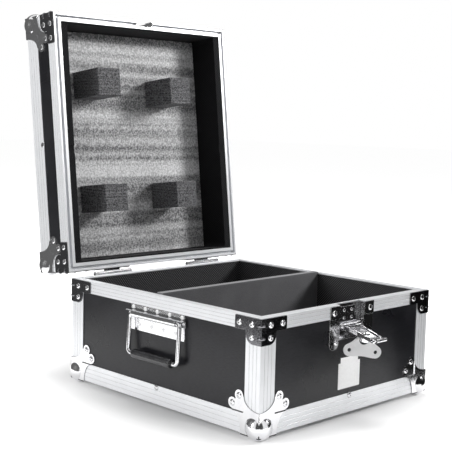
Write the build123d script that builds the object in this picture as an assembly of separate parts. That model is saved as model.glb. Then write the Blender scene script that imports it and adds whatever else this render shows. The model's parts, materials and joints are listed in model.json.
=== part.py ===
"""Flight case for a stage light: plywood panels in aluminium edge angles, with ball corners,
a tongue-and-groove lid on two stop hinges, a twist latch in a dish and two sprung handles.

Millimetres, +Z up. The origin is on the floor under the middle of the case, level with the flats
that its ball corners stand on. The latch faces -Y, the hinges are at +Y and the handles are on the
-X and +X sides. Pieces are drawn with Z measured from the floor panel's underside and lifted to
the floor as they are saved. The lid is drawn closed and then swung open, because the case stands
open at rest.
"""

import os
from math import cos, pi, radians, sin, tau

from build123d import *

# Size of the case over its edge angles
case_width = 400.0
case_depth = 440.0
base_height = 170.0
lid_height = 82.0
seam_gap = 0.5
lid_open_angle = 96.65

# Flats on pins, knuckles and other small round pieces, and on the handle wire
round_sides = 16
wire_sides = 8

# Edge angles: equal legs with shallow grooves along both faces
edge_leg = 30.0
edge_sheet = 1.5
edge_corner_bevel = 0.8
edge_rivet_inset = 27.0
groove_count = 3
groove_pitch = 7.0
groove_width = 1.0
groove_depth = 0.4

# Panels, plywood with a laminate face
panel_thickness = 9.5

# Rims that meet at the seam
rim_face = 20.0
rim_width = 14.0
rim_groove_pitch = 5.5
rim_inner_leg = 1.0
rim_inner_leg_height = 8.0
base_web = 2.0
lid_web = 9.5
tongue_setback = 4.0
tongue_thickness = 2.5
tongue_height = 6.0
tongue_taper = 0.5
tongue_outer_play = 0.5
tongue_inner_play = 1.8
tongue_top_play = 2.0

# Ball corners: a dome with three cranked leaves
ball_radius = 20.0
ball_inset = 11.5
ball_flat = 0.5
ball_sides = 12
ball_ring_angles = (20.0, 54.7356, 90.0, 125.0)
leaf_sheet = 1.5
leaf_crank = 1.5
leaf_rivet_near = 40.5
leaf_rivet_far = 53.5
leaf_lobe_radius = 8.2
leaf_lobe_sides = 10
leaf_arch_start = 35.0
leaf_arch_sides = 12

# Braces that tie the rims to the corner posts
brace_sheet = 1.2
brace_drop = 1.0
brace_arm = 51.0
brace_arm_height = 19.5
brace_leg_height = 38.0
brace_toe = 14.0
brace_toe_bulge = 4.2
brace_edge_gap = 0.5
brace_bead_radius = 6.0
brace_bead_inset = 2.5
brace_bead_height = 2.4
brace_bead_sides = 10
brace_bead_drops = (10.0, 28.0)
brace_rivets = ((17.8, 10.0), (42.2, 10.0), (17.8, 28.5))

# Rivets
rivet_radius = 4.6
rivet_height = 2.0
rivet_sides = 5
rivet_slope = 35.0

# Linings, divider and foam
lining_floor = 3.0
divider_thickness = 12.0
divider_felt = 1.5
divider_front = 6.0
divider_rise = 2.5
divider_play = 0.3
divider_notch_play = 0.5
lid_side_foam = 17.0
lid_end_foam = 6.0
lid_foam_setback = 1.0
foam_pad_thickness = 11.0
foam_block_width = 49.0
foam_block_depth = 48.0
foam_block_reach = 13.0
foam_block_centres = ((-99.5, -105.0), (66.0, -95.0), (-98.5, 97.5), (67.5, 97.0))
foam_pad_play = 0.3

# Hinges on the back, just inside the braces, with a stop that holds the lid open
hinge_offset = 8.2
hinge_brace_gap = 1.5
hinge_width = 80.0
hinge_middle = 34.0
hinge_sheet = 2.0
hinge_base_leaf_height = 44.0
hinge_lid_leaf_height = 32.0
hinge_barrel_radius = 4.0
hinge_pin_radius = 2.4
hinge_play = 0.3
pin_play = 0.06
hinge_stop_reach = 0.8
hinge_tongue_reach = 7.4
hinge_rivet_spread = 26.0
hinge_base_rivet = 34.0
hinge_lid_rivet = 26.8

# Latch dish in the front of the base
dish_width = 104.0
dish_height = 66.0
dish_sheet = 1.2
dish_drop = 1.5
dish_corner = 9.0
dish_lobe_width = 21.0
recess_width = 58.0
recess_height = 50.0
cutout_play = 0.3
dish_rivets = ((43.0, 10.0), (36.0, 55.5))

# Latch swing plate, riveted in the dish, and its pin
swing_plate_width = 50.0
swing_plate_sheet = 1.5
swing_plate_top = 6.0
swing_plate_bottom = 44.0
pivot_depth = 4.4
pivot_drop = 34.0
knuckle_radius = 3.9
knuckle_outer = 24.0
knuckle_inner = 17.3
latch_pin_radius = 2.2

# Latch arm, a tapered channel that hangs out of the dish in the open position
arm_tilt = 15.0
arm_base_width = 33.0
arm_tip_width = 25.0
arm_length = 57.0
arm_sheet = 1.8
arm_rail_height = 3.6
arm_rail_start = 7.0
arm_rail_end = 52.0
arm_knuckle_play = 0.35
arm_stop_width = 20.0
arm_stop_depth = 1.0

# Hook that slides along the arm
hook_width = 17.0
hook_sheet = 1.6
hook_start = 16.0
hook_play = 0.3
hook_curl_centre = 61.0
hook_curl_radius = 3.5
hook_lip_width = 23.0
hook_stroke = 3.2

# Spindle, its cross pin and the butterfly key
spindle_place = 32.5
spindle_radius = 4.0
spindle_play = 0.06
washer_radius = 6.5
washer_sheet = 1.0
hub_radius = 7.5
hub_start_play = 0.3
hub_height = 8.8
cross_pin_height = 6.3
cross_pin_radius = 1.5
key_twist = 30.0
key_sheet = 2.0
key_hole_spread = 21.5
key_hole_drop = 18.1
key_hole_radius = 2.9
key_lobe_radius = 9.5
key_shoulder_width = 22.0
key_shoulder_angle = 53.0
key_notch_play = 0.7
key_knuckle_radius = 2.7
key_knuckle_width = 3.6
key_waist = 1.5

# Keeper in the front of the lid
keeper_width = 76.0
keeper_height = 34.0
keeper_recess = 36.0
keeper_recess_height = 38.0
keeper_bar_radius = 1.5
keeper_bar_rise = 23.5
keeper_bar_depth = 6.0
keeper_rivets = ((30.0, 10.0), (30.0, 27.0))

# Handles: riveted plate with a rolled barrel, sprung bail and rubber grip
handle_width = 126.0
handle_plate_sheet = 1.5
handle_plate_gap = 0.3
handle_plate_height = 40.0
handle_axis_drop = 33.6
handle_axis_stand = 6.0
ridge_width = 132.0
ridge_radius = 5.6
bail_wire_radius = 3.5
bail_width = 123.0
bail_drop = 62.2
bail_stand = 9.4
bail_bend = 7.0
bail_bend_steps = 3
grip_radius = 7.5
grip_length = 90.0
grip_edge = 1.5

# Places worked out from the sizes above
half_width = case_width / 2
half_depth = case_depth / 2
under_z = -edge_sheet
seam_z = under_z + base_height
lid_seam_z = seam_z + seam_gap
top_z = lid_seam_z + lid_height
standing_rise = ball_radius - ball_flat - ball_inset - under_z
panel_inner = edge_sheet + panel_thickness
axis_y = half_depth + hinge_offset
axis_z = seam_z + seam_gap / 2
wall_top = seam_z - base_web
lid_wall_low = lid_seam_z + lid_web
lid_wall_high = top_z - panel_inner
corner_signs = [(side, end) for side in (-1, 1) for end in (-1, 1)]

os.makedirs("parts", exist_ok=True)


def save(name, shape):
    """Writes one node, a single solid or a group of separate ones, lifted to stand on the floor."""
    solids = shape if isinstance(shape, list) else [shape]
    lifted = [Pos(0, 0, standing_rise) * piece for piece in solids]
    single = [piece.solid() if len(piece.solids()) == 1 else piece for piece in lifted]
    export_step(single[0] if len(single) == 1 else Compound(children=single), f"parts/{name}.step")


def block(low, high):
    """Box between two corners."""
    size = [b - a for a, b in zip(low, high)]
    return Pos(*low) * Box(*size, align=(Align.MIN, Align.MIN, Align.MIN))


def prism(radius, length, sides=round_sides):
    """Prism about the origin, along Z, with its corners on the radius."""
    return extrude(RegularPolygon(radius, sides), amount=length / 2, both=True)


def bore(radius, length, sides=round_sides):
    """Prism to cut with: its flats clear the radius."""
    return prism(radius / cos(pi / sides), length, sides)


def along_x(low_x, high_x, y, z, shape):
    """Turns a piece that stands about the origin to lie along X, with its middle between the ends."""
    return Pos((low_x + high_x) / 2, y, z) * Rot(0, 90, 0) * shape


def rod_x(low_x, high_x, y, z, radius):
    return along_x(low_x, high_x, y, z, prism(radius, high_x - low_x))


def bore_x(low_x, high_x, y, z, radius):
    return along_x(low_x, high_x, y, z, bore(radius, high_x - low_x + 2))


def seat(origin, across, inward, shape):
    """Moves a shape from its own axes, X along across and Y along inward, to its place."""
    along = Vector(*across).cross(Vector(*inward))
    return Plane(origin=origin, x_dir=across, z_dir=along).location * shape


def opened(shape):
    """Swings a closed lid's piece open about the hinge axis."""
    return Pos(0, axis_y, axis_z) * Rot(-lid_open_angle, 0, 0) * Pos(0, -axis_y, -axis_z) * shape


def opened_all(shapes):
    return [opened(shape) for shape in shapes]


def corner_axes(side, end, up):
    """Inward directions at a corner, in the order that makes their cross product point up or down."""
    across = (-side, 0, 0)
    inward = (0, -end, 0)
    return (across, inward) if side * end * up > 0 else (inward, across)


def edge_runs():
    """The four sides, anticlockwise from above: name, start corner, direction, inward, length."""
    return (
        ("front", (-1, -1), (1, 0, 0), (0, 1, 0), case_width),
        ("right", (1, -1), (0, 1, 0), (-1, 0, 0), case_depth),
        ("back", (1, 1), (-1, 0, 0), (0, -1, 0), case_width),
        ("left", (-1, 1), (0, -1, 0), (1, 0, 0), case_depth),
    )


def corner_point(signs, z):
    return (signs[0] * half_width, signs[1] * half_depth, z)


def grooved(profile, middle, count, pitch, on_both):
    """Cuts shallow grooves into a profile's outer faces, spread about the middle."""
    for index in range(count):
        place = middle + (index - (count - 1) / 2) * pitch
        profile -= Pos(0, place) * Rectangle(2 * groove_depth, groove_width)
        if on_both:
            profile -= Pos(place, 0) * Rectangle(groove_width, 2 * groove_depth)
    return profile


# Edge angles and corner posts
def angle_profile():
    corner = (Align.MIN, Align.MIN)
    profile = Rectangle(edge_leg, edge_leg, align=corner)
    profile -= Pos(edge_sheet, edge_sheet) * Rectangle(edge_leg, edge_leg, align=corner)
    outer = profile.vertices().sort_by_distance((0, 0, 0))[0]
    profile = chamfer(outer, edge_corner_bevel)
    return grooved(profile, edge_leg / 2, groove_count, groove_pitch, True)


def mitre_start(part, both):
    """Keeps what lies further along the run than it lies inward, at the near end."""
    part = split(part, bisect_by=Plane(origin=(0, 0, 0), z_dir=(-1, 0, 1)), keep=Keep.TOP)
    if both:
        part = split(part, bisect_by=Plane(origin=(0, 0, 0), z_dir=(0, -1, 1)), keep=Keep.TOP)
    return part


def mitre_end(part, length, both):
    part = split(part, bisect_by=Plane(origin=(0, 0, length), z_dir=(-1, 0, -1)), keep=Keep.TOP)
    if both:
        part = split(part, bisect_by=Plane(origin=(0, 0, length), z_dir=(0, -1, -1)), keep=Keep.TOP)
    return part


def edge_angle(length):
    return mitre_end(mitre_start(extrude(angle_profile(), amount=length), True), length, True)


def corner_post(height):
    """Mitred where it meets the two edge angles, square where it butts against the rims."""
    return mitre_start(extrude(angle_profile(), amount=height), True)


def base_edges():
    """Bottom edge angles, each seated with its X inward and its Y up."""
    edges = {}
    for name, signs, _, inward, length in edge_runs():
        edges[name] = seat(corner_point(signs, under_z), inward, (0, 0, 1), edge_angle(length))
    return edges


def lid_edges():
    """Top edge angles, turned the other way up, so each starts from the far corner."""
    edges = {}
    for name, signs, along, inward, length in edge_runs():
        far = tuple(sign + 2 * step for sign, step in zip(signs, along))
        edges[name] = seat(corner_point(far, top_z), inward, (0, 0, -1), edge_angle(length))
    return edges


def corner_posts(start_z, height, up):
    posts = []
    for side, end in corner_signs:
        across, inward = corner_axes(side, end, up)
        posts.append(seat(corner_point((side, end), start_z), across, inward, corner_post(height)))
    return posts


# Rims
def base_rim_profile():
    """X is the distance in from the outer face and Y the distance down from the seam."""
    corner = (Align.MIN, Align.MIN)
    profile = Rectangle(edge_sheet, rim_face, align=corner)
    profile += Rectangle(rim_width, base_web, align=corner)
    profile += Pos(panel_inner, 0) * Rectangle(rim_inner_leg, base_web + rim_inner_leg_height, align=corner)
    tongue_end = tongue_setback + tongue_thickness
    profile += Polygon(
        (tongue_setback, base_web / 2),
        (tongue_end, base_web / 2),
        (tongue_end, 0),
        (tongue_end - tongue_taper, -tongue_height),
        (tongue_setback + tongue_taper, -tongue_height),
        (tongue_setback, 0),
        align=None,
    )
    return grooved(profile, rim_face / 2, groove_count, rim_groove_pitch, False)


def lid_rim_profile():
    """X is the distance in from the outer face and Y the distance up from the seam."""
    corner = (Align.MIN, Align.MIN)
    profile = Rectangle(edge_sheet, rim_face, align=corner)
    profile += Rectangle(rim_width, lid_web, align=corner)
    profile += Pos(panel_inner, 0) * Rectangle(rim_inner_leg, lid_web + rim_inner_leg_height, align=corner)
    slot_start = tongue_setback - tongue_outer_play
    slot_width = tongue_outer_play + tongue_thickness + tongue_inner_play
    slot_depth = tongue_height + tongue_top_play
    profile -= Pos(slot_start, 0) * Rectangle(slot_width, slot_depth, align=corner)
    return grooved(profile, rim_face / 2, groove_count, rim_groove_pitch, False)


def rim(profile, length):
    return mitre_end(mitre_start(extrude(profile, amount=length), False), length, False)


def base_rims():
    rims = {}
    for name, signs, along, inward, length in edge_runs():
        far = tuple(sign + 2 * step for sign, step in zip(signs, along))
        rims[name] = seat(corner_point(far, seam_z), inward, (0, 0, -1), rim(base_rim_profile(), length))
    half = recess_width / 2 + dish_sheet + cutout_play
    notch_back = -half_depth + panel_inner + rim_inner_leg
    low = (-half, -half_depth - edge_sheet, seam_z - rim_face - edge_sheet)
    rims["front"] -= block(low, (half, notch_back, seam_z + tongue_height + edge_sheet))
    return rims


def lid_rims():
    rims = {}
    for name, signs, _, inward, length in edge_runs():
        start = corner_point(signs, lid_seam_z)
        rims[name] = seat(start, inward, (0, 0, 1), rim(lid_rim_profile(), length))
    half = keeper_recess / 2 + dish_sheet + cutout_play
    notch_back = -half_depth + panel_inner + rim_inner_leg
    low = (-half, -half_depth - edge_sheet, lid_seam_z - edge_sheet)
    rims["front"] -= block(low, (half, notch_back, lid_seam_z + rim_face + edge_sheet))
    return rims


# Panels
def wall_panels(low_z, high_z):
    """Four walls: front and back run across, the sides stand between them."""
    out_x = half_width - edge_sheet
    out_y = half_depth - edge_sheet
    in_x = half_width - panel_inner
    in_y = half_depth - panel_inner
    return {
        "front": block((-out_x, -out_y, low_z), (out_x, -in_y, high_z)),
        "back": block((-out_x, in_y, low_z), (out_x, out_y, high_z)),
        "left": block((-out_x, -in_y, low_z), (-in_x, in_y, high_z)),
        "right": block((in_x, -in_y, low_z), (out_x, in_y, high_z)),
    }


def flat_panel(low_z, high_z):
    out_x = half_width - edge_sheet
    out_y = half_depth - edge_sheet
    return block((-out_x, -out_y, low_z), (out_x, out_y, high_z))


def base_panels():
    panels = wall_panels(panel_thickness, wall_top)
    half = recess_width / 2 + dish_sheet + cutout_play
    floor_of_cut = seam_z - dish_drop - recess_height - dish_sheet - cutout_play
    panels["front"] -= block((-half, -half_depth, floor_of_cut), (half, 0, wall_top))
    return panels


def lid_panels():
    panels = wall_panels(lid_wall_low, lid_wall_high)
    half = keeper_recess / 2 + dish_sheet + cutout_play
    top_of_cut = lid_seam_z + dish_drop + keeper_recess_height + dish_sheet + cutout_play
    panels["front"] -= block((-half, -half_depth, lid_wall_low), (half, 0, top_of_cut))
    return panels


# Ball corners
def oval(radius_x, radius_y):
    """Ellipse with a few flats."""
    turns = [tau * index / leaf_arch_sides for index in range(leaf_arch_sides)]
    return Polygon(*[(radius_x * cos(turn), radius_y * sin(turn)) for turn in turns], align=None)


def leaf_outline():
    """One leaf seen square on: X and Y run along the two case edges from the corner."""
    reach = leaf_rivet_far
    near = leaf_rivet_near
    edge = -leaf_sheet
    outline = Polygon(
        (edge, edge), (reach, edge), (reach, near), (near, reach), (edge, reach), align=None
    )
    outline += Pos(reach, near) * RegularPolygon(leaf_lobe_radius, leaf_lobe_sides)
    outline += Pos(near, reach) * RegularPolygon(leaf_lobe_radius, leaf_lobe_sides)
    outline -= Pos(reach, 0) * oval(reach - leaf_arch_start, edge_leg)
    outline -= Pos(0, reach) * oval(edge_leg, reach - leaf_arch_start)
    return outline


def leaf():
    """The leaf lies over the edge angles and steps down onto the panel beyond them."""
    outline = leaf_outline()
    big = 4 * leaf_rivet_far
    corner = (Align.MIN, Align.MIN)
    beyond = Pos(edge_leg, edge_leg) * Rectangle(big, big, align=corner)
    past_step = Pos(edge_leg + leaf_crank, edge_leg + leaf_crank) * Rectangle(big, big, align=corner)
    raised = extrude(outline - past_step, amount=leaf_sheet)
    step = Pos(0, 0, -edge_sheet) * extrude(outline & beyond - past_step, amount=edge_sheet + leaf_sheet)
    lowered = Pos(0, 0, -edge_sheet) * extrude(outline & beyond, amount=leaf_sheet)
    return raised + step + lowered


def ball():
    """Faceted ball with rings of points about the corner's diagonal, cut flat where it can stand."""
    centre = (ball_inset, ball_inset, ball_inset)
    axis = Plane(origin=centre, x_dir=(1, 1, -2), z_dir=(-1, -1, -1))
    points = []
    for angle in ball_ring_angles:
        out = ball_radius * sin(radians(angle))
        along = ball_radius * cos(radians(angle))
        for index in range(ball_sides):
            turn = tau * index / ball_sides
            points.append(axis.from_local_coords((out * cos(turn), out * sin(turn), along)))
    low = ball_inset + ball_flat - ball_radius
    high = ball_inset + ball_radius
    return ConvexPolyhedron(points) & block((low, low, low), (high, high, high))


def ball_corner():
    """Corner at the origin with the case inside x, y, z > 0: a dome and a leaf on each face."""
    inside = 2 * ball_radius + ball_inset
    dome = ball() - block((0, 0, 0), (inside, inside, inside))
    on_floor = mirror(leaf(), about=Plane.XY)
    corner = dome + on_floor
    for turn in (120, 240):
        corner += on_floor.rotate(Axis((0, 0, 0), (1, 1, 1)), turn)
    return corner


def leaf_rivet_places():
    """Rivet places on the three leaves of a corner at the origin, each with its outward normal."""
    near = leaf_rivet_near
    far = leaf_rivet_far
    top = edge_sheet - leaf_sheet
    places = []
    for first, second in ((near, far), (far, near)):
        places.append(((first, second, top), (0, 0, -1)))
        places.append(((top, first, second), (-1, 0, 0)))
        places.append(((first, top, second), (0, -1, 0)))
    return places


def at_corners(z, up, part):
    return [
        seat(corner_point((side, end), z), *corner_axes(side, end, up), part) for side, end in corner_signs
    ]


# Rivets
def rivet(place, normal):
    """A low head with a few flats."""
    head = extrude(RegularPolygon(rivet_radius, rivet_sides), amount=rivet_height, taper=rivet_slope)
    return Plane(origin=place, z_dir=normal).location * head


def corner_rivets(z, up):
    local = [rivet(place, normal) for place, normal in leaf_rivet_places()]
    return [piece for head in local for piece in at_corners(z, up, head)]


def edge_middle_rivets(z, up):
    """One rivet half way along each edge angle, on both of its faces."""
    heads = []
    for _, signs, along, inward, length in edge_runs():
        start = Vector(*corner_point(signs, z)) + Vector(*along) * (length / 2)
        heads.append(rivet(start + Vector(0, 0, up * edge_rivet_inset), Vector(*inward) * -1))
        heads.append(rivet(start + Vector(*inward) * edge_rivet_inset, (0, 0, -up)))
    return heads


# Braces
def brace_plate():
    """One face of a brace: X runs in from the corner and Z away from the seam."""
    foot = brace_leg_height
    edge = edge_leg - brace_edge_gap
    outline = Polygon(
        (-brace_sheet, 0),
        (brace_arm, 0),
        (brace_arm, brace_arm_height),
        (edge, brace_arm_height),
        (edge, foot - brace_toe),
        (edge - brace_toe_bulge, foot - brace_toe / 2),
        (edge - brace_toe, foot),
        (-brace_sheet, foot),
        align=None,
    )
    return Plane(origin=(0, 0, 0), x_dir=(1, 0, 0), z_dir=(0, -1, 0)).location * extrude(
        outline, amount=brace_sheet
    )


def brace():
    """Both faces and the two pressed beads over the corner."""
    plate = brace_plate()
    both = plate + mirror(plate, about=Plane(origin=(0, 0, 0), z_dir=(1, -1, 0)))
    inside = block((0, 0, -1), (brace_arm, brace_arm, brace_leg_height))
    for drop in brace_bead_drops:
        bead = prism(brace_bead_radius, brace_bead_height, brace_bead_sides)
        both += Pos(brace_bead_inset, brace_bead_inset, drop) * bead - inside
    return both


def brace_rivets_local():
    heads = []
    for along, drop in brace_rivets:
        heads.append(rivet((along, -brace_sheet, drop), (0, -1, 0)))
        heads.append(rivet((-brace_sheet, along, drop), (-1, 0, 0)))
    return heads


# Linings, divider and foam
def ring(outer, inner_x, inner_y, low_z, high_z):
    """Upright ring whose outside is a distance in from the case and whose inside is given for X and Y."""
    out_x = half_width - outer
    out_y = half_depth - outer
    in_x = half_width - inner_x
    in_y = half_depth - inner_y
    body = block((-out_x, -out_y, low_z), (out_x, out_y, high_z))
    return body - block((-in_x, -in_y, low_z), (in_x, in_y, high_z))


def base_wall_lining():
    lining = ring(panel_inner, rim_width, rim_width, panel_thickness, wall_top)
    leg = panel_inner + rim_inner_leg
    return lining - ring(panel_inner, leg, leg, wall_top - rim_inner_leg_height, wall_top)


def base_floor_lining():
    x = half_width - rim_width
    y = half_depth - rim_width
    return block((-x, -y, panel_thickness), (x, y, panel_thickness + lining_floor))


def divider():
    """Plywood board and the felt folded over its top, faces and ends."""
    x = half_width - rim_width - divider_play
    low = panel_thickness + lining_floor
    high = seam_z + divider_rise
    back = divider_front + divider_thickness
    whole = block((-x, divider_front, low), (x, back, high))
    board = block(
        (-x + divider_felt, divider_front + divider_felt, low),
        (x - divider_felt, back - divider_felt, high - divider_felt),
    )
    return board, whole - board


def lid_wall_lining():
    """Foam strips on the lid walls, thicker at the sides, rebated round the rims, notched at the divider."""
    in_x = panel_inner + lid_side_foam
    in_y = panel_inner + lid_end_foam
    lining = ring(panel_inner, in_x, in_y, lid_wall_low, lid_wall_high)
    lining += ring(rim_width, in_x, in_y, lid_seam_z + lid_foam_setback, lid_wall_low)
    leg = panel_inner + rim_inner_leg
    lining -= ring(panel_inner, leg, leg, lid_wall_low, lid_wall_low + rim_inner_leg_height)
    over = divider_notch_play
    back = divider_front + divider_thickness + over
    low = (-half_width, divider_front - over, seam_z)
    return lining - block(low, (half_width, back, seam_z + divider_rise + over))


def lid_foam_pad():
    x = half_width - panel_inner - lid_side_foam - foam_pad_play
    y = half_depth - panel_inner - lid_end_foam - foam_pad_play
    return block((-x, -y, lid_wall_high - foam_pad_thickness), (x, y, lid_wall_high))


def lid_foam_blocks():
    low = lid_seam_z - foam_block_reach
    high = lid_wall_high - foam_pad_thickness
    blocks = []
    for x, y in foam_block_centres:
        half_x = foam_block_width / 2
        half_y = foam_block_depth / 2
        blocks.append(block((x - half_x, y - half_y, low), (x + half_x, y + half_y, high)))
    return blocks


# Hinges
def hinge_centres():
    centre = half_width - brace_arm - hinge_brace_gap - hinge_width / 2
    return (-centre, centre)


def hinge_leaf(centre, up, height, low_x, high_x):
    """Leaf against the case with an arm out to the barrel; up is 1 on the lid and -1 on the base."""
    left = centre - hinge_width / 2
    right = centre + hinge_width / 2
    edge = rim_face + seam_gap / 2
    arm = hinge_barrel_radius - hinge_sheet
    face = half_depth + hinge_sheet
    panel_y = half_depth - edge_sheet
    zones = (
        (low_x, high_x, half_depth, axis_y, arm, hinge_barrel_radius),
        (left, right, half_depth, face, arm, edge + leaf_crank),
        (left, right, panel_y, face, edge, edge + leaf_crank),
        (left, right, panel_y, panel_y + hinge_sheet, edge, height),
    )
    shape = None
    for start_x, end_x, near_y, far_y, start, end in zones:
        low_z, high_z = sorted((axis_z + up * start, axis_z + up * end))
        zone = block((start_x, near_y, low_z), (end_x, far_y, high_z))
        shape = zone if shape is None else shape + zone
    return shape


def base_hinge_leaf(centre):
    """Outer knuckles and, between them, the tab that the lid leaf's tongue rests against."""
    left = centre - hinge_width / 2
    right = centre + hinge_width / 2
    gap_left = centre - hinge_middle / 2
    gap_right = centre + hinge_middle / 2
    shape = hinge_leaf(centre, -1, hinge_base_leaf_height, left, right)
    for low_x, high_x in ((left, gap_left - hinge_play), (gap_right + hinge_play, right)):
        shape += rod_x(low_x, high_x, axis_y, axis_z, hinge_barrel_radius)
    shape -= block(
        (gap_left - hinge_play, half_depth + hinge_sheet, axis_z - hinge_barrel_radius),
        (gap_right + hinge_play, axis_y + hinge_barrel_radius, axis_z + hinge_barrel_radius),
    )
    stop_high = axis_z - hinge_barrel_radius - hinge_play
    stop_low = (gap_left, half_depth, stop_high - hinge_sheet)
    shape += block(stop_low, (gap_right, axis_y + hinge_stop_reach, stop_high))
    return shape - rod_x(left - 1, right + 1, axis_y, axis_z, hinge_pin_radius)


def lid_hinge_leaf(centre):
    """Middle knuckle with a tongue beyond it, which meets the base leaf's tab when the lid is open."""
    gap_left = centre - hinge_middle / 2
    gap_right = centre + hinge_middle / 2
    shape = hinge_leaf(centre, 1, hinge_lid_leaf_height, gap_left, gap_right)
    shape += block(
        (gap_left, axis_y, axis_z + hinge_barrel_radius - hinge_sheet),
        (gap_right, axis_y + hinge_tongue_reach, axis_z + hinge_barrel_radius),
    )
    shape += rod_x(gap_left, gap_right, axis_y, axis_z, hinge_barrel_radius)
    return shape - bore_x(gap_left, gap_right, axis_y, axis_z, hinge_pin_radius + pin_play)


def hinge_pin(centre):
    half = hinge_width / 2
    return rod_x(centre - half, centre + half, axis_y, axis_z, hinge_pin_radius)


def hinge_rivets(up, distance):
    heads = []
    for centre in hinge_centres():
        for side in (-1, 1):
            x = centre + side * hinge_rivet_spread
            y = half_depth - edge_sheet + hinge_sheet
            heads.append(rivet((x, y, axis_z + up * distance), (0, 1, 0)))
    return heads


# Latch dish and swing plate
def front_block(low_x, high_x, near, deep, high, low):
    """Box on the front: depths in from the case's face and drops below the seam."""
    return block((low_x, -half_depth + near, seam_z - low), (high_x, -half_depth + deep, seam_z - high))


def latch_dish():
    half = dish_width / 2
    inner = recess_width / 2
    wall = inner + dish_sheet
    bottom = dish_drop + dish_height
    recess_bottom = dish_drop + recess_height
    step = rim_face
    face = edge_sheet - dish_sheet
    flange = front_block(-half, half, -dish_sheet, 0, dish_drop, step + dish_sheet)
    flange += front_block(-half, half, -dish_sheet, edge_sheet, step, step + dish_sheet)
    flange += front_block(-half, half, face, edge_sheet, step, bottom)
    foot = half - dish_lobe_width
    flange -= front_block(-foot, foot, -1, edge_sheet + 1, recess_bottom + 2 * dish_sheet, bottom)
    corners = flange.edges().filter_by(Axis.Y).group_by(Axis.Z)[0]
    flange = fillet(corners, dish_corner)
    flange -= front_block(-inner, inner, -edge_sheet, edge_sheet + 1, 0, recess_bottom)
    tub = front_block(-wall, wall, face, panel_inner, dish_drop, recess_bottom + dish_sheet)
    tub -= front_block(-inner, inner, -1, panel_inner - dish_sheet, 0, recess_bottom)
    return flange + tub


def pivot_point():
    return (0, -half_depth + pivot_depth, seam_z - pivot_drop)


def swing_plate():
    """Plate on the back of the dish with two knuckles for the swing pin."""
    _, y, z = pivot_point()
    back = panel_inner - dish_sheet
    front = back - swing_plate_sheet
    half = swing_plate_width / 2
    plate = front_block(-half, half, front, back, swing_plate_top, swing_plate_bottom)
    for side in (-1, 1):
        low_x, high_x = sorted((side * knuckle_inner, side * knuckle_outer))
        web = block((low_x, y, z - knuckle_radius), (high_x, -half_depth + front, z))
        plate += web + rod_x(low_x, high_x, y, z, knuckle_radius)
        plate -= rod_x(low_x - 1, high_x + 1, y, z, latch_pin_radius)
    half_stop = arm_stop_width / 2
    edge_y = -half_depth + arm_stop_depth
    high = arm_underside(edge_y) - arm_knuckle_play
    back_y = -half_depth + front + swing_plate_sheet / 2
    return plate + block((-half_stop, edge_y, high - swing_plate_sheet), (half_stop, back_y, high))


def arm_underside(at_y):
    """Height of the resting arm's lower face at a distance along Y, where its stop meets it."""
    _, y, z = pivot_point()
    tilt = radians(arm_tilt)
    along = (y + knuckle_radius * sin(tilt) - at_y) / cos(tilt)
    return z - along * sin(tilt) - knuckle_radius * cos(tilt)


def latch_pin():
    _, y, z = pivot_point()
    return rod_x(-knuckle_outer, knuckle_outer, y, z, latch_pin_radius)


# Latch arm, hook, spindle and key, drawn with X across, Y along the arm and Z to its outer side
def arm_frame():
    """Arm axes at rest: the arm points out of the case and a little down, its outer side below."""
    tilt = radians(arm_tilt)
    return Plane(origin=pivot_point(), x_dir=(1, 0, 0), z_dir=(0, sin(tilt), -cos(tilt)))


def arm_top():
    """Height of the arm plate's inner face above the pivot axis, on the outer side."""
    return knuckle_radius - arm_sheet


def arm_outline(start, end, inset):
    """Tapered plate between two stations along the arm."""
    slope = (arm_base_width - arm_tip_width) / 2 / arm_length
    near = arm_base_width / 2 - slope * start - inset
    far = arm_base_width / 2 - slope * end - inset
    return Polygon((-near, start), (near, start), (far, end), (-far, end), align=None)


def latch_arm():
    low = arm_top()
    plate = Pos(0, 0, low) * extrude(arm_outline(0, arm_length, 0), amount=arm_sheet)
    rail = arm_outline(arm_rail_start, arm_rail_end, 0) - arm_outline(arm_rail_start, arm_rail_end, arm_sheet)
    plate += Pos(0, 0, low - arm_rail_height) * extrude(rail, amount=arm_rail_height)
    half = arm_base_width / 2
    plate += rod_x(-half, half, 0, 0, knuckle_radius - arm_knuckle_play)
    plate -= bore_x(-half, half, 0, 0, latch_pin_radius + pin_play)
    hole = bore(spindle_radius + spindle_play, 4 * arm_sheet)
    return plate - Pos(0, spindle_place, low) * hole


def latch_hook():
    """Sliding plate inside the arm's channel, with a curled lip beyond the arm's tip."""
    high = arm_top() - hook_play
    low = high - hook_sheet
    half = hook_width / 2
    lip = hook_lip_width / 2
    plate = block((-half, hook_start, low), (half, hook_curl_centre, high))
    plate += block((-lip, arm_length + hook_stroke, low), (lip, hook_curl_centre, high))
    slot_half = hook_stroke + spindle_play
    slot = extrude(SlotCenterToCenter(2 * slot_half, 2 * (spindle_radius + hook_play), rotation=90),
                   amount=4 * hook_sheet)
    plate -= Pos(0, spindle_place, low - hook_sheet) * slot
    middle = high - hook_curl_radius
    curl = rod_x(-lip, lip, hook_curl_centre, middle, hook_curl_radius)
    curl -= rod_x(-lip - 1, lip + 1, hook_curl_centre, middle, hook_curl_radius - hook_sheet)
    curl -= block(
        (-lip - 1, hook_curl_centre - 2 * hook_curl_radius, middle - 2 * hook_curl_radius),
        (lip + 1, hook_curl_centre, high + 1),
    )
    return plate + curl


def key_axes():
    """Directions of the key at rest: along its cross pin, and the way it hangs."""
    tilt = radians(arm_tilt)
    twist = radians(key_twist)
    along_arm = Vector(0, -cos(tilt), -sin(tilt))
    cross = Vector(1, 0, 0) * cos(twist) + along_arm * sin(twist)
    down = Vector(0, 0, -1)
    hang = (down - cross * down.dot(cross)).normalized()
    return cross, hang


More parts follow.
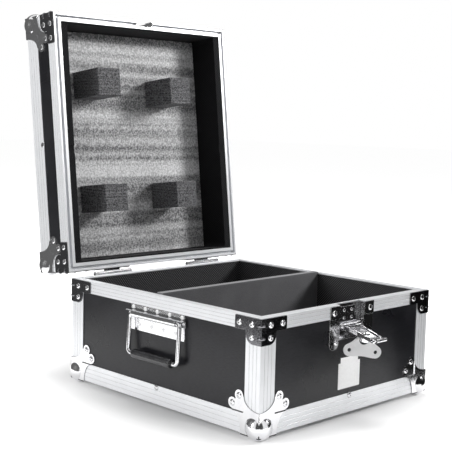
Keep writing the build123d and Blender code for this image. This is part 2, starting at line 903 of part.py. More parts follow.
def spindle():
    """Shaft through the arm, washer inside, hub outside with a cross pin for the key."""
    low = arm_top()
    outer = low + arm_sheet
    hub_low = outer + hub_start_play
    washer_high = low - hook_play - hook_sheet - hook_play
    washer_low = washer_high - washer_sheet
    shaft = Pos(0, 0, (washer_low + hub_low) / 2) * prism(spindle_radius, hub_low - washer_low)
    shaft += Pos(0, 0, hub_low + hub_height / 2) * prism(hub_radius, hub_height)
    shaft += Pos(0, 0, (washer_low + washer_high) / 2) * prism(washer_radius, washer_high - washer_low)
    reach = hub_radius + key_notch_play + key_knuckle_width
    pin = rod_x(-reach, reach, 0, outer + cross_pin_height, cross_pin_radius)
    return Pos(0, spindle_place, 0) * Rot(0, 0, key_twist) * (shaft + pin)


def key_pivot():
    """Middle of the key's cross pin in the case's axes."""
    height = arm_top() + arm_sheet + cross_pin_height
    plane = arm_frame()
    return plane.origin + plane.y_dir * spindle_place + plane.z_dir * height


def key_outline():
    """X runs along the cross pin and Y the way the key hangs, from the pin."""
    wide = key_hole_spread
    drop = key_hole_drop
    lobe = key_lobe_radius
    top = key_shoulder_width / 2 + key_knuckle_radius
    shoulder = wide + lobe * cos(radians(key_shoulder_angle))
    outline = Polygon(
        (-top, 0),
        (top, 0),
        (shoulder, drop - lobe * sin(radians(key_shoulder_angle))),
        (wide, drop + lobe),
        (0, drop + lobe - key_waist),
        (-wide, drop + lobe),
        (-shoulder, drop - lobe * sin(radians(key_shoulder_angle))),
        align=None,
    )
    for side in (-1, 1):
        outline += Pos(side * wide, drop) * RegularPolygon(lobe, round_sides)
    for side in (-1, 1):
        outline -= Pos(side * wide, drop) * RegularPolygon(key_hole_radius, round_sides)
    return outline - RegularPolygon((hub_radius + key_notch_play) / cos(pi / round_sides), round_sides)


def butterfly_key():
    """Wing plate with two knuckles on the cross pin."""
    plate = Pos(0, 0, -key_sheet / 2) * extrude(key_outline(), amount=key_sheet)
    inner = hub_radius + key_notch_play
    for side in (-1, 1):
        low_x, high_x = sorted((side * inner, side * (inner + key_knuckle_width)))
        plate += rod_x(low_x, high_x, 0, 0, key_knuckle_radius)
        plate -= bore_x(low_x, high_x, 0, 0, cross_pin_radius + pin_play)
    cross, hang = key_axes()
    return Plane(origin=key_pivot(), x_dir=cross, z_dir=cross.cross(hang)).location * plate


# Keeper in the lid
def lid_front_block(low_x, high_x, near, deep, low, high):
    """Box on the lid's front: depths in from its face and heights above the lid's seam."""
    low_corner = (low_x, -half_depth + near, lid_seam_z + low)
    return block(low_corner, (high_x, -half_depth + deep, lid_seam_z + high))


def latch_keeper():
    half = keeper_width / 2
    inner = keeper_recess / 2
    wall = inner + dish_sheet
    face = edge_sheet - dish_sheet
    top = dish_drop + keeper_height
    recess_top = dish_drop + keeper_recess_height
    step = rim_face
    plate = lid_front_block(-half, half, -dish_sheet, 0, dish_drop, step + dish_sheet)
    plate += lid_front_block(-half, half, -dish_sheet, edge_sheet, step, step + dish_sheet)
    plate += lid_front_block(-half, half, face, edge_sheet, step, top + dish_drop)
    plate += lid_front_block(-wall, wall, face, edge_sheet, step, recess_top + dish_sheet)
    plate -= lid_front_block(-inner, inner, -edge_sheet, edge_sheet + 1, 0, recess_top)
    tub = lid_front_block(-wall, wall, face, panel_inner, dish_drop, recess_top + dish_sheet)
    tub -= lid_front_block(-inner, inner, -1, panel_inner - dish_sheet, 0, recess_top)
    bar_y = -half_depth + keeper_bar_depth
    bar = rod_x(-wall, wall, bar_y, lid_seam_z + keeper_bar_rise, keeper_bar_radius)
    return plate + tub + bar


# Handles, drawn with X along the case side, Y out of it and Z up, from the seam's outer edge
def plate_top():
    return -rim_face - handle_plate_gap


def handle_plate():
    """Plate on the panel with a ridge rolled round the bail's stubs and open below its elbows."""
    half = handle_width / 2
    ridge = ridge_width / 2
    surface = -edge_sheet
    outer = surface + handle_plate_sheet
    stand = handle_axis_stand
    axis = -handle_axis_drop
    clear = bail_wire_radius + pin_play
    plate = block((-half, surface, plate_top() - handle_plate_height), (half, outer, plate_top()))
    plate += rod_x(-ridge, ridge, stand, axis, ridge_radius)
    plate += block((-ridge, outer, axis - ridge_radius), (ridge, stand, axis + ridge_radius))
    plate -= bore_x(-ridge, ridge, stand, axis, clear)
    bearing = bail_width / 2 - bail_wire_radius - bail_bend - hinge_play
    for side in (-1, 1):
        low_x, high_x = sorted((side * bearing, side * (ridge + 1)))
        below = (low_x, stand - clear - hinge_play, axis - 2 * ridge_radius)
        plate -= block(below, (high_x, stand + 2 * ridge_radius, axis + clear + hinge_play))
    return plate


def handle_bail():
    """Bent wire: stubs in the ridge, two legs and a bar for the grip, each bend in a few steps."""
    half = bail_width / 2 - bail_wire_radius
    lean = (bail_stand - handle_axis_stand) / bail_drop
    leg = bail_drop * (1 + lean**2) ** 0.5
    turns = [radians(90 * step / bail_bend_steps) for step in range(bail_bend_steps + 1)]
    upper = [(half - bail_bend * (1 - sin(turn)), bail_bend * (1 - cos(turn))) for turn in turns]
    lower = [(along, leg - down) for along, down in reversed(upper)]
    right = [(half - 2 * bail_bend, 0), *upper, *lower]
    left = [(-along, down) for along, down in reversed(right)]
    hang = Plane(
        origin=(0, handle_axis_stand, -handle_axis_drop), x_dir=(1, 0, 0), z_dir=(0, 1, lean)
    )
    points = [hang.from_local_coords((along, down, 0)) for along, down in right + left]
    section = Plane(origin=points[0], x_dir=hang.z_dir, z_dir=(1, 0, 0)) * RegularPolygon(
        bail_wire_radius, wire_sides
    )
    return sweep(section, path=Polyline(*points), transition=Transition.RIGHT)


def handle_grip():
    """Rubber sleeve on the bail's bar."""
    sleeve = prism(grip_radius, grip_length)
    ends = sleeve.faces().filter_by(Axis.Z).edges()
    sleeve = chamfer(ends, grip_edge) - bore(bail_wire_radius + pin_play, grip_length + 1)
    return Pos(0, bail_stand, -handle_axis_drop - bail_drop) * Rot(0, 90, 0) * sleeve


def on_side(side, shape):
    """Puts a handle piece on the left (-1) or right (1) side."""
    return Pos(side * half_width, 0, seam_z) * Rot(0, 0, -90 * side) * shape


# Build and save every piece
def save_base():
    save("floor_panel", flat_panel(0, panel_thickness))
    for name, panel in base_panels().items():
        save(f"{name}_panel", panel)
    for name, edge in base_edges().items():
        save(f"bottom_edge_{name}", edge)
    for name, piece in base_rims().items():
        save(f"base_rim_{name}", piece)
    save("base_corner_posts", corner_posts(under_z, base_height - rim_face, 1))
    save("base_ball_corners", at_corners(under_z, 1, ball_corner()))
    save("base_rim_braces", at_corners(seam_z - brace_drop, -1, brace()))
    save("base_wall_lining", base_wall_lining())
    save("base_floor_lining", base_floor_lining())
    board, felt = divider()
    save("divider_board", board)
    save("divider_felt", felt)
    save("latch_dish", latch_dish())
    save("latch_swing_plate", swing_plate())
    save("latch_pin", latch_pin())
    save("hinge_base_leaves", [base_hinge_leaf(centre) for centre in hinge_centres()])
    save("hinge_pins", [hinge_pin(centre) for centre in hinge_centres()])


def save_lid():
    save("lid_top_panel", opened(flat_panel(lid_wall_high, lid_wall_high + panel_thickness)))
    for name, panel in lid_panels().items():
        save(f"lid_{name}_panel", opened(panel))
    for name, edge in lid_edges().items():
        save(f"lid_edge_{name}", opened(edge))
    for name, piece in lid_rims().items():
        save(f"lid_rim_{name}", opened(piece))
    save("lid_corner_posts", opened_all(corner_posts(top_z, lid_height - rim_face, -1)))
    save("lid_ball_corners", opened_all(at_corners(top_z, -1, ball_corner())))
    save("lid_rim_braces", opened_all(at_corners(lid_seam_z + brace_drop, 1, brace())))
    save("lid_wall_lining", opened(lid_wall_lining()))
    save("lid_foam_pad", opened(lid_foam_pad()))
    save("lid_foam_blocks", opened_all(lid_foam_blocks()))
    save("latch_keeper", opened(latch_keeper()))
    save("hinge_lid_leaves", opened_all([lid_hinge_leaf(centre) for centre in hinge_centres()]))


def save_latch():
    frame = arm_frame().location
    save("latch_arm", frame * latch_arm())
    save("latch_hook", frame * latch_hook())
    save("key_spindle", frame * spindle())
    save("butterfly_key", butterfly_key())


def save_handles():
    for side, name in ((-1, "left"), (1, "right")):
        save(f"handle_plate_{name}", on_side(side, handle_plate()))
        save(f"handle_bail_{name}", on_side(side, handle_bail()))
        save(f"handle_grip_{name}", on_side(side, handle_grip()))


def save_rivets():
    base = corner_rivets(under_z, 1) + edge_middle_rivets(under_z, 1) + hinge_rivets(-1, hinge_base_rivet)
    for head in brace_rivets_local():
        base += at_corners(seam_z - brace_drop, -1, head)
    for side in (-1, 1):
        for index, (x, drop) in enumerate(dish_rivets):
            y = -half_depth - dish_sheet if index == 0 else -half_depth + edge_sheet - dish_sheet
            base.append(rivet((side * x, y, seam_z - dish_drop - drop), (0, -1, 0)))
    save("base_rivets", base)

    lid = corner_rivets(top_z, -1) + edge_middle_rivets(top_z, -1) + hinge_rivets(1, hinge_lid_rivet)
    for head in brace_rivets_local():
        lid += at_corners(lid_seam_z + brace_drop, 1, head)
    for side in (-1, 1):
        for index, (x, rise) in enumerate(keeper_rivets):
            y = -half_depth - dish_sheet if index == 0 else -half_depth + edge_sheet - dish_sheet
            lid.append(rivet((side * x, y, lid_seam_z + dish_drop + rise), (0, -1, 0)))
    save("lid_rivets", opened_all(lid))


save_base()
save_lid()
save_latch()
save_handles()
save_rivets()
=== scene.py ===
"""Dresses the flight case: finishes for its metal, laminate, foam and felt, smooth ball corners,
rivets, braces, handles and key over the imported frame, a pale floor, soft lamps and the camera.

Metres, in the frame's own axes. The lid's pieces are drawn on the closed lid and swung open.
"""

import json
from math import cos, pi, radians, sin, tau

import bmesh
import bpy
from mathutils import Matrix, Vector, noise


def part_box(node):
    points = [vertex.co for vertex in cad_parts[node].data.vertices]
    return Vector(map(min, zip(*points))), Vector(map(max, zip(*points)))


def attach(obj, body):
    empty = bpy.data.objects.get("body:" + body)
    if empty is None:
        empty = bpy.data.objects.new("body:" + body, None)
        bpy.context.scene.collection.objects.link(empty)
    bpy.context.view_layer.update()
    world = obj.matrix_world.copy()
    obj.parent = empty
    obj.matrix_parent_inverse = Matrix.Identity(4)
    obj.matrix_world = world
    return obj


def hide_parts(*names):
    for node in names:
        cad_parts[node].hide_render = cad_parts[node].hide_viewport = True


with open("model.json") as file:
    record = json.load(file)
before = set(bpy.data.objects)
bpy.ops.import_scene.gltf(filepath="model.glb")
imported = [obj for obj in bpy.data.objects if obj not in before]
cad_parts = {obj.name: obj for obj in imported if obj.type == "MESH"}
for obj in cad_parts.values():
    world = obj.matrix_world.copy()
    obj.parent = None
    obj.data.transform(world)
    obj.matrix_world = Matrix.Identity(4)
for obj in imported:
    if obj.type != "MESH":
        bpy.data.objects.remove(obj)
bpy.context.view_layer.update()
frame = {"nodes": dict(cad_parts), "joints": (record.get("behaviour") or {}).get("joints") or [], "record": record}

MM = 0.001
record = frame["record"]
joints = {joint["name"]: joint for joint in frame["joints"]}
body_of_node = {
    node: body for body, nodes in record["behaviour"]["bodies"].items() for node in nodes
}
slot_of_node = {part["node"]: part["material_slot"] for part in record["subparts"]}
scene = bpy.context.scene

# Places read from the frame
hinge_axis = Vector(joints["lid_hinge"]["pos_m"])
lid_open_angle = radians(joints["lid_hinge"]["range_deg"][1])
half_seam = 0.25 * MM
half_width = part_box("bottom_edge_right")[1].x
half_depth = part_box("bottom_edge_back")[1].y
under_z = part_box("bottom_edge_front")[0].z
seam_z = hinge_axis.z - half_seam
lid_seam_z = hinge_axis.z + half_seam
floor_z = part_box("base_ball_corners")[0].z
corner_signs = [(side, end) for side in (-1, 1) for end in (-1, 1)]

# Turns a closed lid's piece open
lid_swing = (
    Matrix.Translation(hinge_axis)
    @ Matrix.Rotation(-lid_open_angle, 4, "X")
    @ Matrix.Translation(-hinge_axis)
)
at_home = Matrix.Identity(4)

# Mesh building
sharp_angle = radians(30.0)
rim_angle = radians(50.0)
flat_angle = radians(0.8)
weld_distance = 2e-6


def polygon_arc(centre, radius_x, radius_y, start, end, steps):
    """Points along an ellipse's arc, from one angle to another in degrees."""
    points = []
    for step in range(steps + 1):
        turn = radians(start + (end - start) * step / steps)
        points.append((centre[0] + radius_x * cos(turn), centre[1] + radius_y * sin(turn)))
    return points


def round_hole(centre, radius, steps=24):
    return polygon_arc(centre, radius, radius, 0, 360 - 360 / steps, steps - 1)


def bevel_edges(mesh, edges, width, segments=2):
    bmesh.ops.bevel(
        mesh, geom=edges, offset=width, segments=segments, profile=0.5, affect="EDGES", clamp_overlap=True
    )


def bevel_sharp(mesh, width, segments=2, convex_only=False):
    edges = [
        edge
        for edge in mesh.edges
        if len(edge.link_faces) == 2
        and edge.calc_face_angle(0) > sharp_angle
        and (edge.is_convex or not convex_only)
    ]
    bevel_edges(mesh, edges, width, segments)


def cut_through(mesh, place, direction):
    """Splits every face that a plane crosses."""
    everything = mesh.verts[:] + mesh.edges[:] + mesh.faces[:]
    bmesh.ops.bisect_plane(mesh, geom=everything, plane_co=place, plane_no=direction, dist=1e-7)


def move_mesh(mesh, place):
    bmesh.ops.transform(mesh, matrix=place, verts=mesh.verts[:])


def extent(verts):
    """Lowest and highest corner of a box round some vertices."""
    return [Vector([limit(vert.co[axis] for vert in verts) for axis in range(3)]) for limit in (min, max)]


def sheet_plate(loops, thickness, edge, step=None):
    """Pressed sheet standing on z = 0: outline and holes, in millimetres, with softened edges.

    step is (start, run, drop): past start on both axes the sheet steps down by drop over run.
    """
    mesh = bmesh.new()
    for loop in loops:
        points = [mesh.verts.new((x * MM, y * MM, 0)) for x, y in loop]
        for first, second in zip(points, points[1:] + points[:1]):
            mesh.edges.new((first, second))
    bmesh.ops.triangle_fill(mesh, use_beauty=True, edges=mesh.edges[:])
    if step:
        start, run, drop = (value * MM for value in step)
        for place in (start, start + run / 2, start + run):
            for axis in ((1, 0, 0), (0, 1, 0)):
                cut_through(mesh, Vector(axis) * place, axis)
        for vert in mesh.verts:
            share = min(max((min(vert.co.x, vert.co.y) - start) / run, 0), 1)
            vert.co.z -= drop * share * share * (3 - 2 * share)
    bmesh.ops.recalc_face_normals(mesh, faces=mesh.faces[:])
    if mesh.faces[0].normal.z > 0:
        bmesh.ops.reverse_faces(mesh, faces=mesh.faces[:])
    grown = bmesh.ops.extrude_face_region(mesh, geom=mesh.faces[:])
    top = [item for item in grown["geom"] if isinstance(item, bmesh.types.BMVert)]
    bmesh.ops.translate(mesh, verts=top, vec=(0, 0, thickness * MM))
    bmesh.ops.recalc_face_normals(mesh, faces=mesh.faces[:])
    flat_rims = [
        rim
        for rim in mesh.edges
        if len(rim.link_faces) == 2
        and rim.calc_face_angle(0) > rim_angle
        and abs(rim.verts[0].co.z - rim.verts[1].co.z) < thickness * MM / 2
    ]
    bevel_edges(mesh, flat_rims, edge * MM)
    return mesh


def turned(profile, steps=28):
    """Solid of revolution about Z from (radius, height) pairs in millimetres, bottom to top."""
    mesh = bmesh.new()
    rings = []
    for radius, height in profile:
        if radius == 0:
            rings.append([mesh.verts.new((0, 0, height * MM))])
            continue
        ring = []
        for step in range(steps):
            turn = tau * step / steps
            ring.append(mesh.verts.new((radius * MM * cos(turn), radius * MM * sin(turn), height * MM)))
        rings.append(ring)
    for low, high in zip(rings, rings[1:]):
        for step in range(steps):
            after = (step + 1) % steps
            corners = ((low, step), (low, after), (high, after), (high, step))
            unique = list(dict.fromkeys(ring[place % len(ring)] for ring, place in corners))
            if len(unique) > 2:
                mesh.faces.new(unique)
    bmesh.ops.recalc_face_normals(mesh, faces=mesh.faces[:])
    return mesh


def wire(points, radius, across, steps=20):
    """Round wire along points that lie in one plane; across is the plane's normal. Closed ends."""
    mesh = bmesh.new()
    across = Vector(across).normalized()
    rings = []
    for index, point in enumerate(points):
        before = points[max(index - 1, 0)]
        after = points[min(index + 1, len(points) - 1)]
        along = (Vector(after) - Vector(before)).normalized()
        out = along.cross(across)
        ring = []
        for step in range(steps):
            turn = tau * step / steps
            ring.append(mesh.verts.new(Vector(point) + (across * cos(turn) + out * sin(turn)) * radius))
        rings.append(ring)
    for low, high in zip(rings, rings[1:]):
        for step in range(steps):
            after = (step + 1) % steps
            mesh.faces.new((low[step], low[after], high[after], high[step]))
    mesh.faces.new(rings[0])
    mesh.faces.new(list(reversed(rings[-1])))
    bmesh.ops.recalc_face_normals(mesh, faces=mesh.faces[:])
    return mesh


def stamp(target, source, place):
    """Adds a copy of one mesh to another at a place."""
    copy = bpy.data.meshes.new("stamp")
    source.to_mesh(copy)
    copy.transform(place)
    if place.determinant() < 0:
        copy.flip_normals()
    target.from_mesh(copy)
    bpy.data.meshes.remove(copy)


def axes_at(origin, across, inward):
    """Place whose X runs across and Y inward, with Z their cross product."""
    across = Vector(across).normalized()
    inward = Vector(inward).normalized()
    place = Matrix((across, inward, across.cross(inward))).transposed().to_4x4()
    place.translation = Vector(origin)
    return place


def facing(origin, normal):
    """Place whose Z runs along a normal."""
    place = Vector(normal).to_track_quat("Z", "Y").to_matrix().to_4x4()
    place.translation = Vector(origin)
    return place


def corner_place(side, end, z, up):
    """A case corner's own axes: X and Y run inward along its edges and Z up or down."""
    across, inward = Vector((-side, 0, 0)), Vector((0, -end, 0))
    if side * end * up < 0:
        across, inward = inward, across
    return axes_at((side * half_width, end * half_depth, z), across, inward)


def make_piece(name, mesh, body, slot, replaced=(), smooth_angle=40.0, finish=None):
    """Turns a mesh into a piece that rides on a body, in its slot's finish or in one that is named."""
    data = bpy.data.meshes.new(name)
    mesh.to_mesh(data)
    mesh.free()
    data.polygons.foreach_set("use_smooth", [True] * len(data.polygons))
    data.set_sharp_from_angle(angle=radians(smooth_angle))
    data.materials.append(finishes[finish or slot])
    piece = bpy.data.objects.new(name, data)
    scene.collection.objects.link(piece)
    level_faces = piece.modifiers.new("level_faces", "WEIGHTED_NORMAL")
    level_faces.keep_sharp = True
    level_faces.weight = 100
    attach(piece, body)
    if replaced:
        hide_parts(*replaced)
    return piece


def welded(node):
    """A node's own mesh with its split corners joined and its flat faces merged."""
    mesh = bmesh.new()
    mesh.from_mesh(frame["nodes"][node].data)
    bmesh.ops.remove_doubles(mesh, verts=mesh.verts[:], dist=weld_distance)
    bmesh.ops.dissolve_limit(mesh, angle_limit=flat_angle, verts=mesh.verts[:], edges=mesh.edges[:])
    return mesh


def islands(mesh):
    """Groups of joined vertices, in the mesh's own order."""
    left = set(mesh.verts)
    groups = []
    for seed in mesh.verts:
        if seed not in left:
            continue
        left.remove(seed)
        group = [seed]
        for vert in group:
            for edge in vert.link_edges:
                other = edge.other_vert(vert)
                if other in left:
                    left.remove(other)
                    group.append(other)
        groups.append(group)
    return groups


# Finishes
def new_group(name, inputs, outputs):
    """Empty node group with named inputs, each with a default, and named outputs."""
    group = bpy.data.node_groups.new(name, "ShaderNodeTree")
    for label, kind, value in inputs:
        socket = group.interface.new_socket(label, in_out="INPUT", socket_type=kind)
        if value is not None:
            socket.default_value = value
    for label, kind in outputs:
        group.interface.new_socket(label, in_out="OUTPUT", socket_type=kind)
    return group, group.nodes.new("NodeGroupInput"), group.nodes.new("NodeGroupOutput")


def maths(tree, operation, first, second=None, clamp=False):
    node = tree.nodes.new("ShaderNodeMath")
    node.operation = operation
    node.use_clamp = clamp
    for socket, value in zip(node.inputs, (first, second)):
        if isinstance(value, bpy.types.NodeSocket):
            tree.links.new(value, socket)
        elif value is not None:
            socket.default_value = value
    return node.outputs[0]


def remap(tree, value, low, high, new_low, new_high):
    node = tree.nodes.new("ShaderNodeMapRange")
    node.interpolation_type = "SMOOTHSTEP"
    tree.links.new(value, node.inputs["Value"])
    for label, number in (("From Min", low), ("From Max", high), ("To Min", new_low), ("To Max", new_high)):
        node.inputs[label].default_value = number
    return node.outputs[0]


def noise_value(tree, vector, scale, detail=3.0, roughness=0.55):
    node = tree.nodes.new("ShaderNodeTexNoise")
    tree.links.new(vector, node.inputs["Vector"])
    node.inputs["Scale"].default_value = scale
    node.inputs["Detail"].default_value = detail
    node.inputs["Roughness"].default_value = roughness
    return node.outputs["Fac"]


def stretched(tree, scale):
    """The object's own coordinates, stretched along each axis."""
    coordinates = tree.nodes.new("ShaderNodeTexCoord")
    mapping = tree.nodes.new("ShaderNodeMapping")
    tree.links.new(coordinates.outputs["Object"], mapping.inputs["Vector"])
    mapping.inputs["Scale"].default_value = scale
    return mapping.outputs[0]


def smudge_group():
    """Soft blotches and fine scratches that metal picks up in use."""
    group, given, made = new_group(
        "handling_marks",
        [("Blotch Scale", "NodeSocketFloat", 22.0), ("Scratch Scale", "NodeSocketFloat", 260.0)],
        [("Blotches", "NodeSocketFloat"), ("Scratches", "NodeSocketFloat")],
    )
    for kind, label, stretch, detail, low, high in (
        ("Blotches", "Blotch Scale", (1, 1, 1), 5.0, 0.35, 0.7),
        ("Scratches", "Scratch Scale", (1, 1, 14), 2.0, 0.45, 0.75),
    ):
        texture = group.nodes.new("ShaderNodeTexNoise")
        group.links.new(stretched(group, stretch), texture.inputs["Vector"])
        group.links.new(given.outputs[label], texture.inputs["Scale"])
        texture.inputs["Detail"].default_value = detail
        group.links.new(remap(group, texture.outputs["Fac"], low, high, 0.0, 1.0), made.inputs[kind])
    return group


def edge_wear_group():
    """Bright or dark worn edges, from the difference between the flat and the rounded normal."""
    group, given, made = new_group(
        "edge_wear", [("Width", "NodeSocketFloat", 0.0012)], [("Mask", "NodeSocketFloat")]
    )
    rounded = group.nodes.new("ShaderNodeBevel")
    rounded.samples = 4
    group.links.new(given.outputs["Width"], rounded.inputs["Radius"])
    geometry = group.nodes.new("ShaderNodeNewGeometry")
    product = group.nodes.new("ShaderNodeVectorMath")
    product.operation = "DOT_PRODUCT"
    group.links.new(rounded.outputs[0], product.inputs[0])
    group.links.new(geometry.outputs["Normal"], product.inputs[1])
    group.links.new(remap(group, product.outputs["Value"], 0.99, 0.8, 0.0, 1.0), made.inputs["Mask"])
    return group


def painted_groove_shade_group():
    """1 on open metal and 0 down in grooves and seams, a mask for the painted shade there."""
    group, given, made = new_group(
        "painted_groove_shade", [("Reach", "NodeSocketFloat", 0.0016)], [("Mask", "NodeSocketFloat")]
    )
    hollow = group.nodes.new("ShaderNodeAmbientOcclusion")
    hollow.samples = 6
    group.links.new(given.outputs["Reach"], hollow.inputs["Distance"])
    group.links.new(remap(group, hollow.outputs["AO"], 0.35, 0.95, 0.0, 1.0), made.inputs["Mask"])
    return group


def foam_grain_group():
    """The fine uneven grain of foam."""
    group, given, made = new_group(
        "foam_grain", [("Cell Scale", "NodeSocketFloat", 700.0)], [("Grain", "NodeSocketFloat")]
    )
    grain = group.nodes.new("ShaderNodeTexNoise")
    group.links.new(stretched(group, (1, 1, 1)), grain.inputs["Vector"])
    group.links.new(given.outputs["Cell Scale"], grain.inputs["Scale"])
    grain.inputs["Detail"].default_value = 3.0
    grain.inputs["Roughness"].default_value = 0.7
    group.links.new(grain.outputs["Fac"], made.inputs["Grain"])
    return group


def dot_weave_group():
    """Diamond dots on any upright or level face: X + Y against Z, or against X - Y where it is level."""
    group, given, made = new_group(
        "dot_weave", [("Pitch", "NodeSocketFloat", 0.0034)], [("Dots", "NodeSocketFloat")]
    )
    coordinates = group.nodes.new("ShaderNodeTexCoord")
    split = group.nodes.new("ShaderNodeSeparateXYZ")
    group.links.new(coordinates.outputs["Object"], split.inputs[0])
    lean = group.nodes.new("ShaderNodeSeparateXYZ")
    group.links.new(coordinates.outputs["Normal"], lean.inputs[0])
    level = maths(group, "ABSOLUTE", lean.outputs["Z"])
    along = maths(group, "ADD", split.outputs["X"], split.outputs["Y"])
    aslant = maths(group, "SUBTRACT", split.outputs["X"], split.outputs["Y"])
    across = maths(group, "ADD", split.outputs["Z"], maths(group, "MULTIPLY", aslant, level))
    waves = []
    for place in (along, across):
        turns = maths(group, "MULTIPLY", maths(group, "DIVIDE", place, given.outputs["Pitch"]), tau)
        waves.append(maths(group, "SINE", turns))
    product = maths(group, "MULTIPLY", waves[0], waves[1])
    group.links.new(remap(group, product, 0.1, 0.7, 0.0, 1.0), made.inputs["Dots"])
    return group


marks = smudge_group()
wear = edge_wear_group()
painted_groove_shade = painted_groove_shade_group()
foam_grain = foam_grain_group()
dot_weave = dot_weave_group()
worn_gain = 1.12
worn_limit = 0.95


def new_finish(name, colour, metallic, roughness, specular=0.5, sheen=0.0):
    material = bpy.data.materials.new(name)
    material.use_nodes = True
    shader = material.node_tree.nodes["Principled BSDF"]
    shader.inputs["Base Color"].default_value = (*colour, 1)
    shader.inputs["Metallic"].default_value = metallic
    shader.inputs["Roughness"].default_value = roughness
    shader.inputs["Specular IOR Level"].default_value = specular
    if sheen:
        shader.inputs["Sheen Weight"].default_value = sheen
    material.diffuse_color = (*colour, 1)
    return material, material.node_tree, shader


def place_group(tree, group, values):
    node = tree.nodes.new("ShaderNodeGroup")
    node.node_tree = group
    for label, value in values.items():
        node.inputs[label].default_value = value
    return node


def tinted(tree, mask, low_colour, high_colour):
    """Colour that runs from one to the other as a mask rises."""
    node = tree.nodes.new("ShaderNodeMix")
    node.data_type = "RGBA"
    tree.links.new(mask, node.inputs["Factor"])
    for index, value in ((6, low_colour), (7, high_colour)):
        if isinstance(value, bpy.types.NodeSocket):
            tree.links.new(value, node.inputs[index])
        else:
            node.inputs[index].default_value = (*value, 1)
    return node.outputs[2]


def add_bump(tree, shader, height, distance, strength=1.0):
    node = tree.nodes.new("ShaderNodeBump")
    node.inputs["Distance"].default_value = distance
    node.inputs["Strength"].default_value = strength
    tree.links.new(height, node.inputs["Height"])
    tree.links.new(node.outputs[0], shader.inputs["Normal"])


def metal(name, colour, dull_colour, roughness, dull_roughness, scratch_depth, metallic=1.0, shade_depth=0.6):
    """Plated or anodised metal with blotches in its gloss, fine scratches, worn edges and painted shade in its
    grooves and seams.
    """
    material, tree, shader = new_finish(name, colour, metallic, roughness)
    handled = place_group(tree, marks, {"Blotch Scale": 30.0, "Scratch Scale": 320.0})
    worn = place_group(tree, wear, {"Width": 0.0008})
    unshaded = place_group(tree, painted_groove_shade, {"Reach": 0.0016})
    dulled = tinted(tree, handled.outputs["Blotches"], colour, dull_colour)
    bright = tuple(min(value * worn_gain, worn_limit) for value in colour)
    # Painted shade: the colour is darkened down in grooves and seams
    shaded_colour = tuple(value * (1 - shade_depth) for value in colour)
    polished = tinted(tree, worn.outputs["Mask"], dulled, bright)
    tree.links.new(tinted(tree, unshaded.outputs["Mask"], shaded_colour, polished), shader.inputs["Base Color"])
    both = maths(tree, "MULTIPLY_ADD", handled.outputs["Scratches"], 0.4)
    tree.links.new(handled.outputs["Blotches"], both.node.inputs[2])
    tree.links.new(remap(tree, both, 0.0, 1.4, roughness, dull_roughness), shader.inputs["Roughness"])
    add_bump(tree, shader, handled.outputs["Scratches"], scratch_depth, 0.5)
    return material


def laminate():
    """Charcoal laminate: faint brushed mottling and a slight texture under a soft gloss."""
    material, tree, shader = new_finish("charcoal_laminate", (0.009, 0.009, 0.011), 0.0, 0.32, 0.34)
    brushed = noise_value(tree, stretched(tree, (9, 9, 70)), 14.0, 4.0)
    cloudy = noise_value(tree, stretched(tree, (1, 1, 1)), 9.0, 3.0)
    mottled = remap(tree, maths(tree, "MULTIPLY", brushed, cloudy), 0.16, 0.36, 0.0, 1.0)
    tree.links.new(
        tinted(tree, mottled, (0.006, 0.006, 0.008), (0.014, 0.014, 0.017)), shader.inputs["Base Color"]
    )
    # The sawn top edges are dull
    geometry = tree.nodes.new("ShaderNodeNewGeometry")
    split = tree.nodes.new("ShaderNodeSeparateXYZ")
    tree.links.new(geometry.outputs["Normal"], split.inputs[0])
    sawn = remap(tree, split.outputs["Z"], 0.8, 0.95, 0.0, 0.7)
    gloss = remap(tree, cloudy, 0.3, 0.7, 0.26, 0.36)
    tree.links.new(maths(tree, "ADD", gloss, sawn), shader.inputs["Roughness"])
    fine = noise_value(tree, stretched(tree, (1, 1, 1)), 900.0, 2.0)
    add_bump(tree, shader, fine, 0.00012, 0.6)
    return material


def lining_foam(name, colour, dot_colour):
    """Black foam lining with a fine diamond of raised dots."""
    material, tree, shader = new_finish(name, colour, 0.0, 0.8, 0.15, sheen=0.05)
    dots = place_group(tree, dot_weave, {"Pitch": 0.0047})
    grain = place_group(tree, foam_grain, {"Cell Scale": 900.0})
    tree.links.new(tinted(tree, dots.outputs["Dots"], colour, dot_colour), shader.inputs["Base Color"])
    height = maths(tree, "MULTIPLY_ADD", grain.outputs["Grain"], 0.35)
    tree.links.new(dots.outputs["Dots"], height.node.inputs[2])
    add_bump(tree, shader, height, 0.0005, 0.7)
    return material


def felt():
    """Charcoal felt, a little lighter where the fibres stand up."""
    material, tree, shader = new_finish("charcoal_felt", (0.08, 0.08, 0.085), 0.0, 0.95, 0.15, sheen=0.35)
    fibres = noise_value(tree, stretched(tree, (1, 1, 1)), 650.0, 5.0, 0.75)
    cloudy = noise_value(tree, stretched(tree, (1, 1, 1)), 14.0, 3.0)
    worn = place_group(tree, wear, {"Width": 0.004})
    base = tinted(tree, remap(tree, fibres, 0.3, 0.7, 0.0, 1.0), (0.08, 0.08, 0.085), (0.16, 0.16, 0.168))
    folded = tinted(tree, worn.outputs["Mask"], base, (0.21, 0.21, 0.22))
    tree.links.new(
        tinted(tree, remap(tree, cloudy, 0.3, 0.9, 0.0, 0.7), folded, (0.18, 0.18, 0.188)),
        shader.inputs["Base Color"],
    )
    add_bump(tree, shader, fibres, 0.0006, 0.5)
    return material


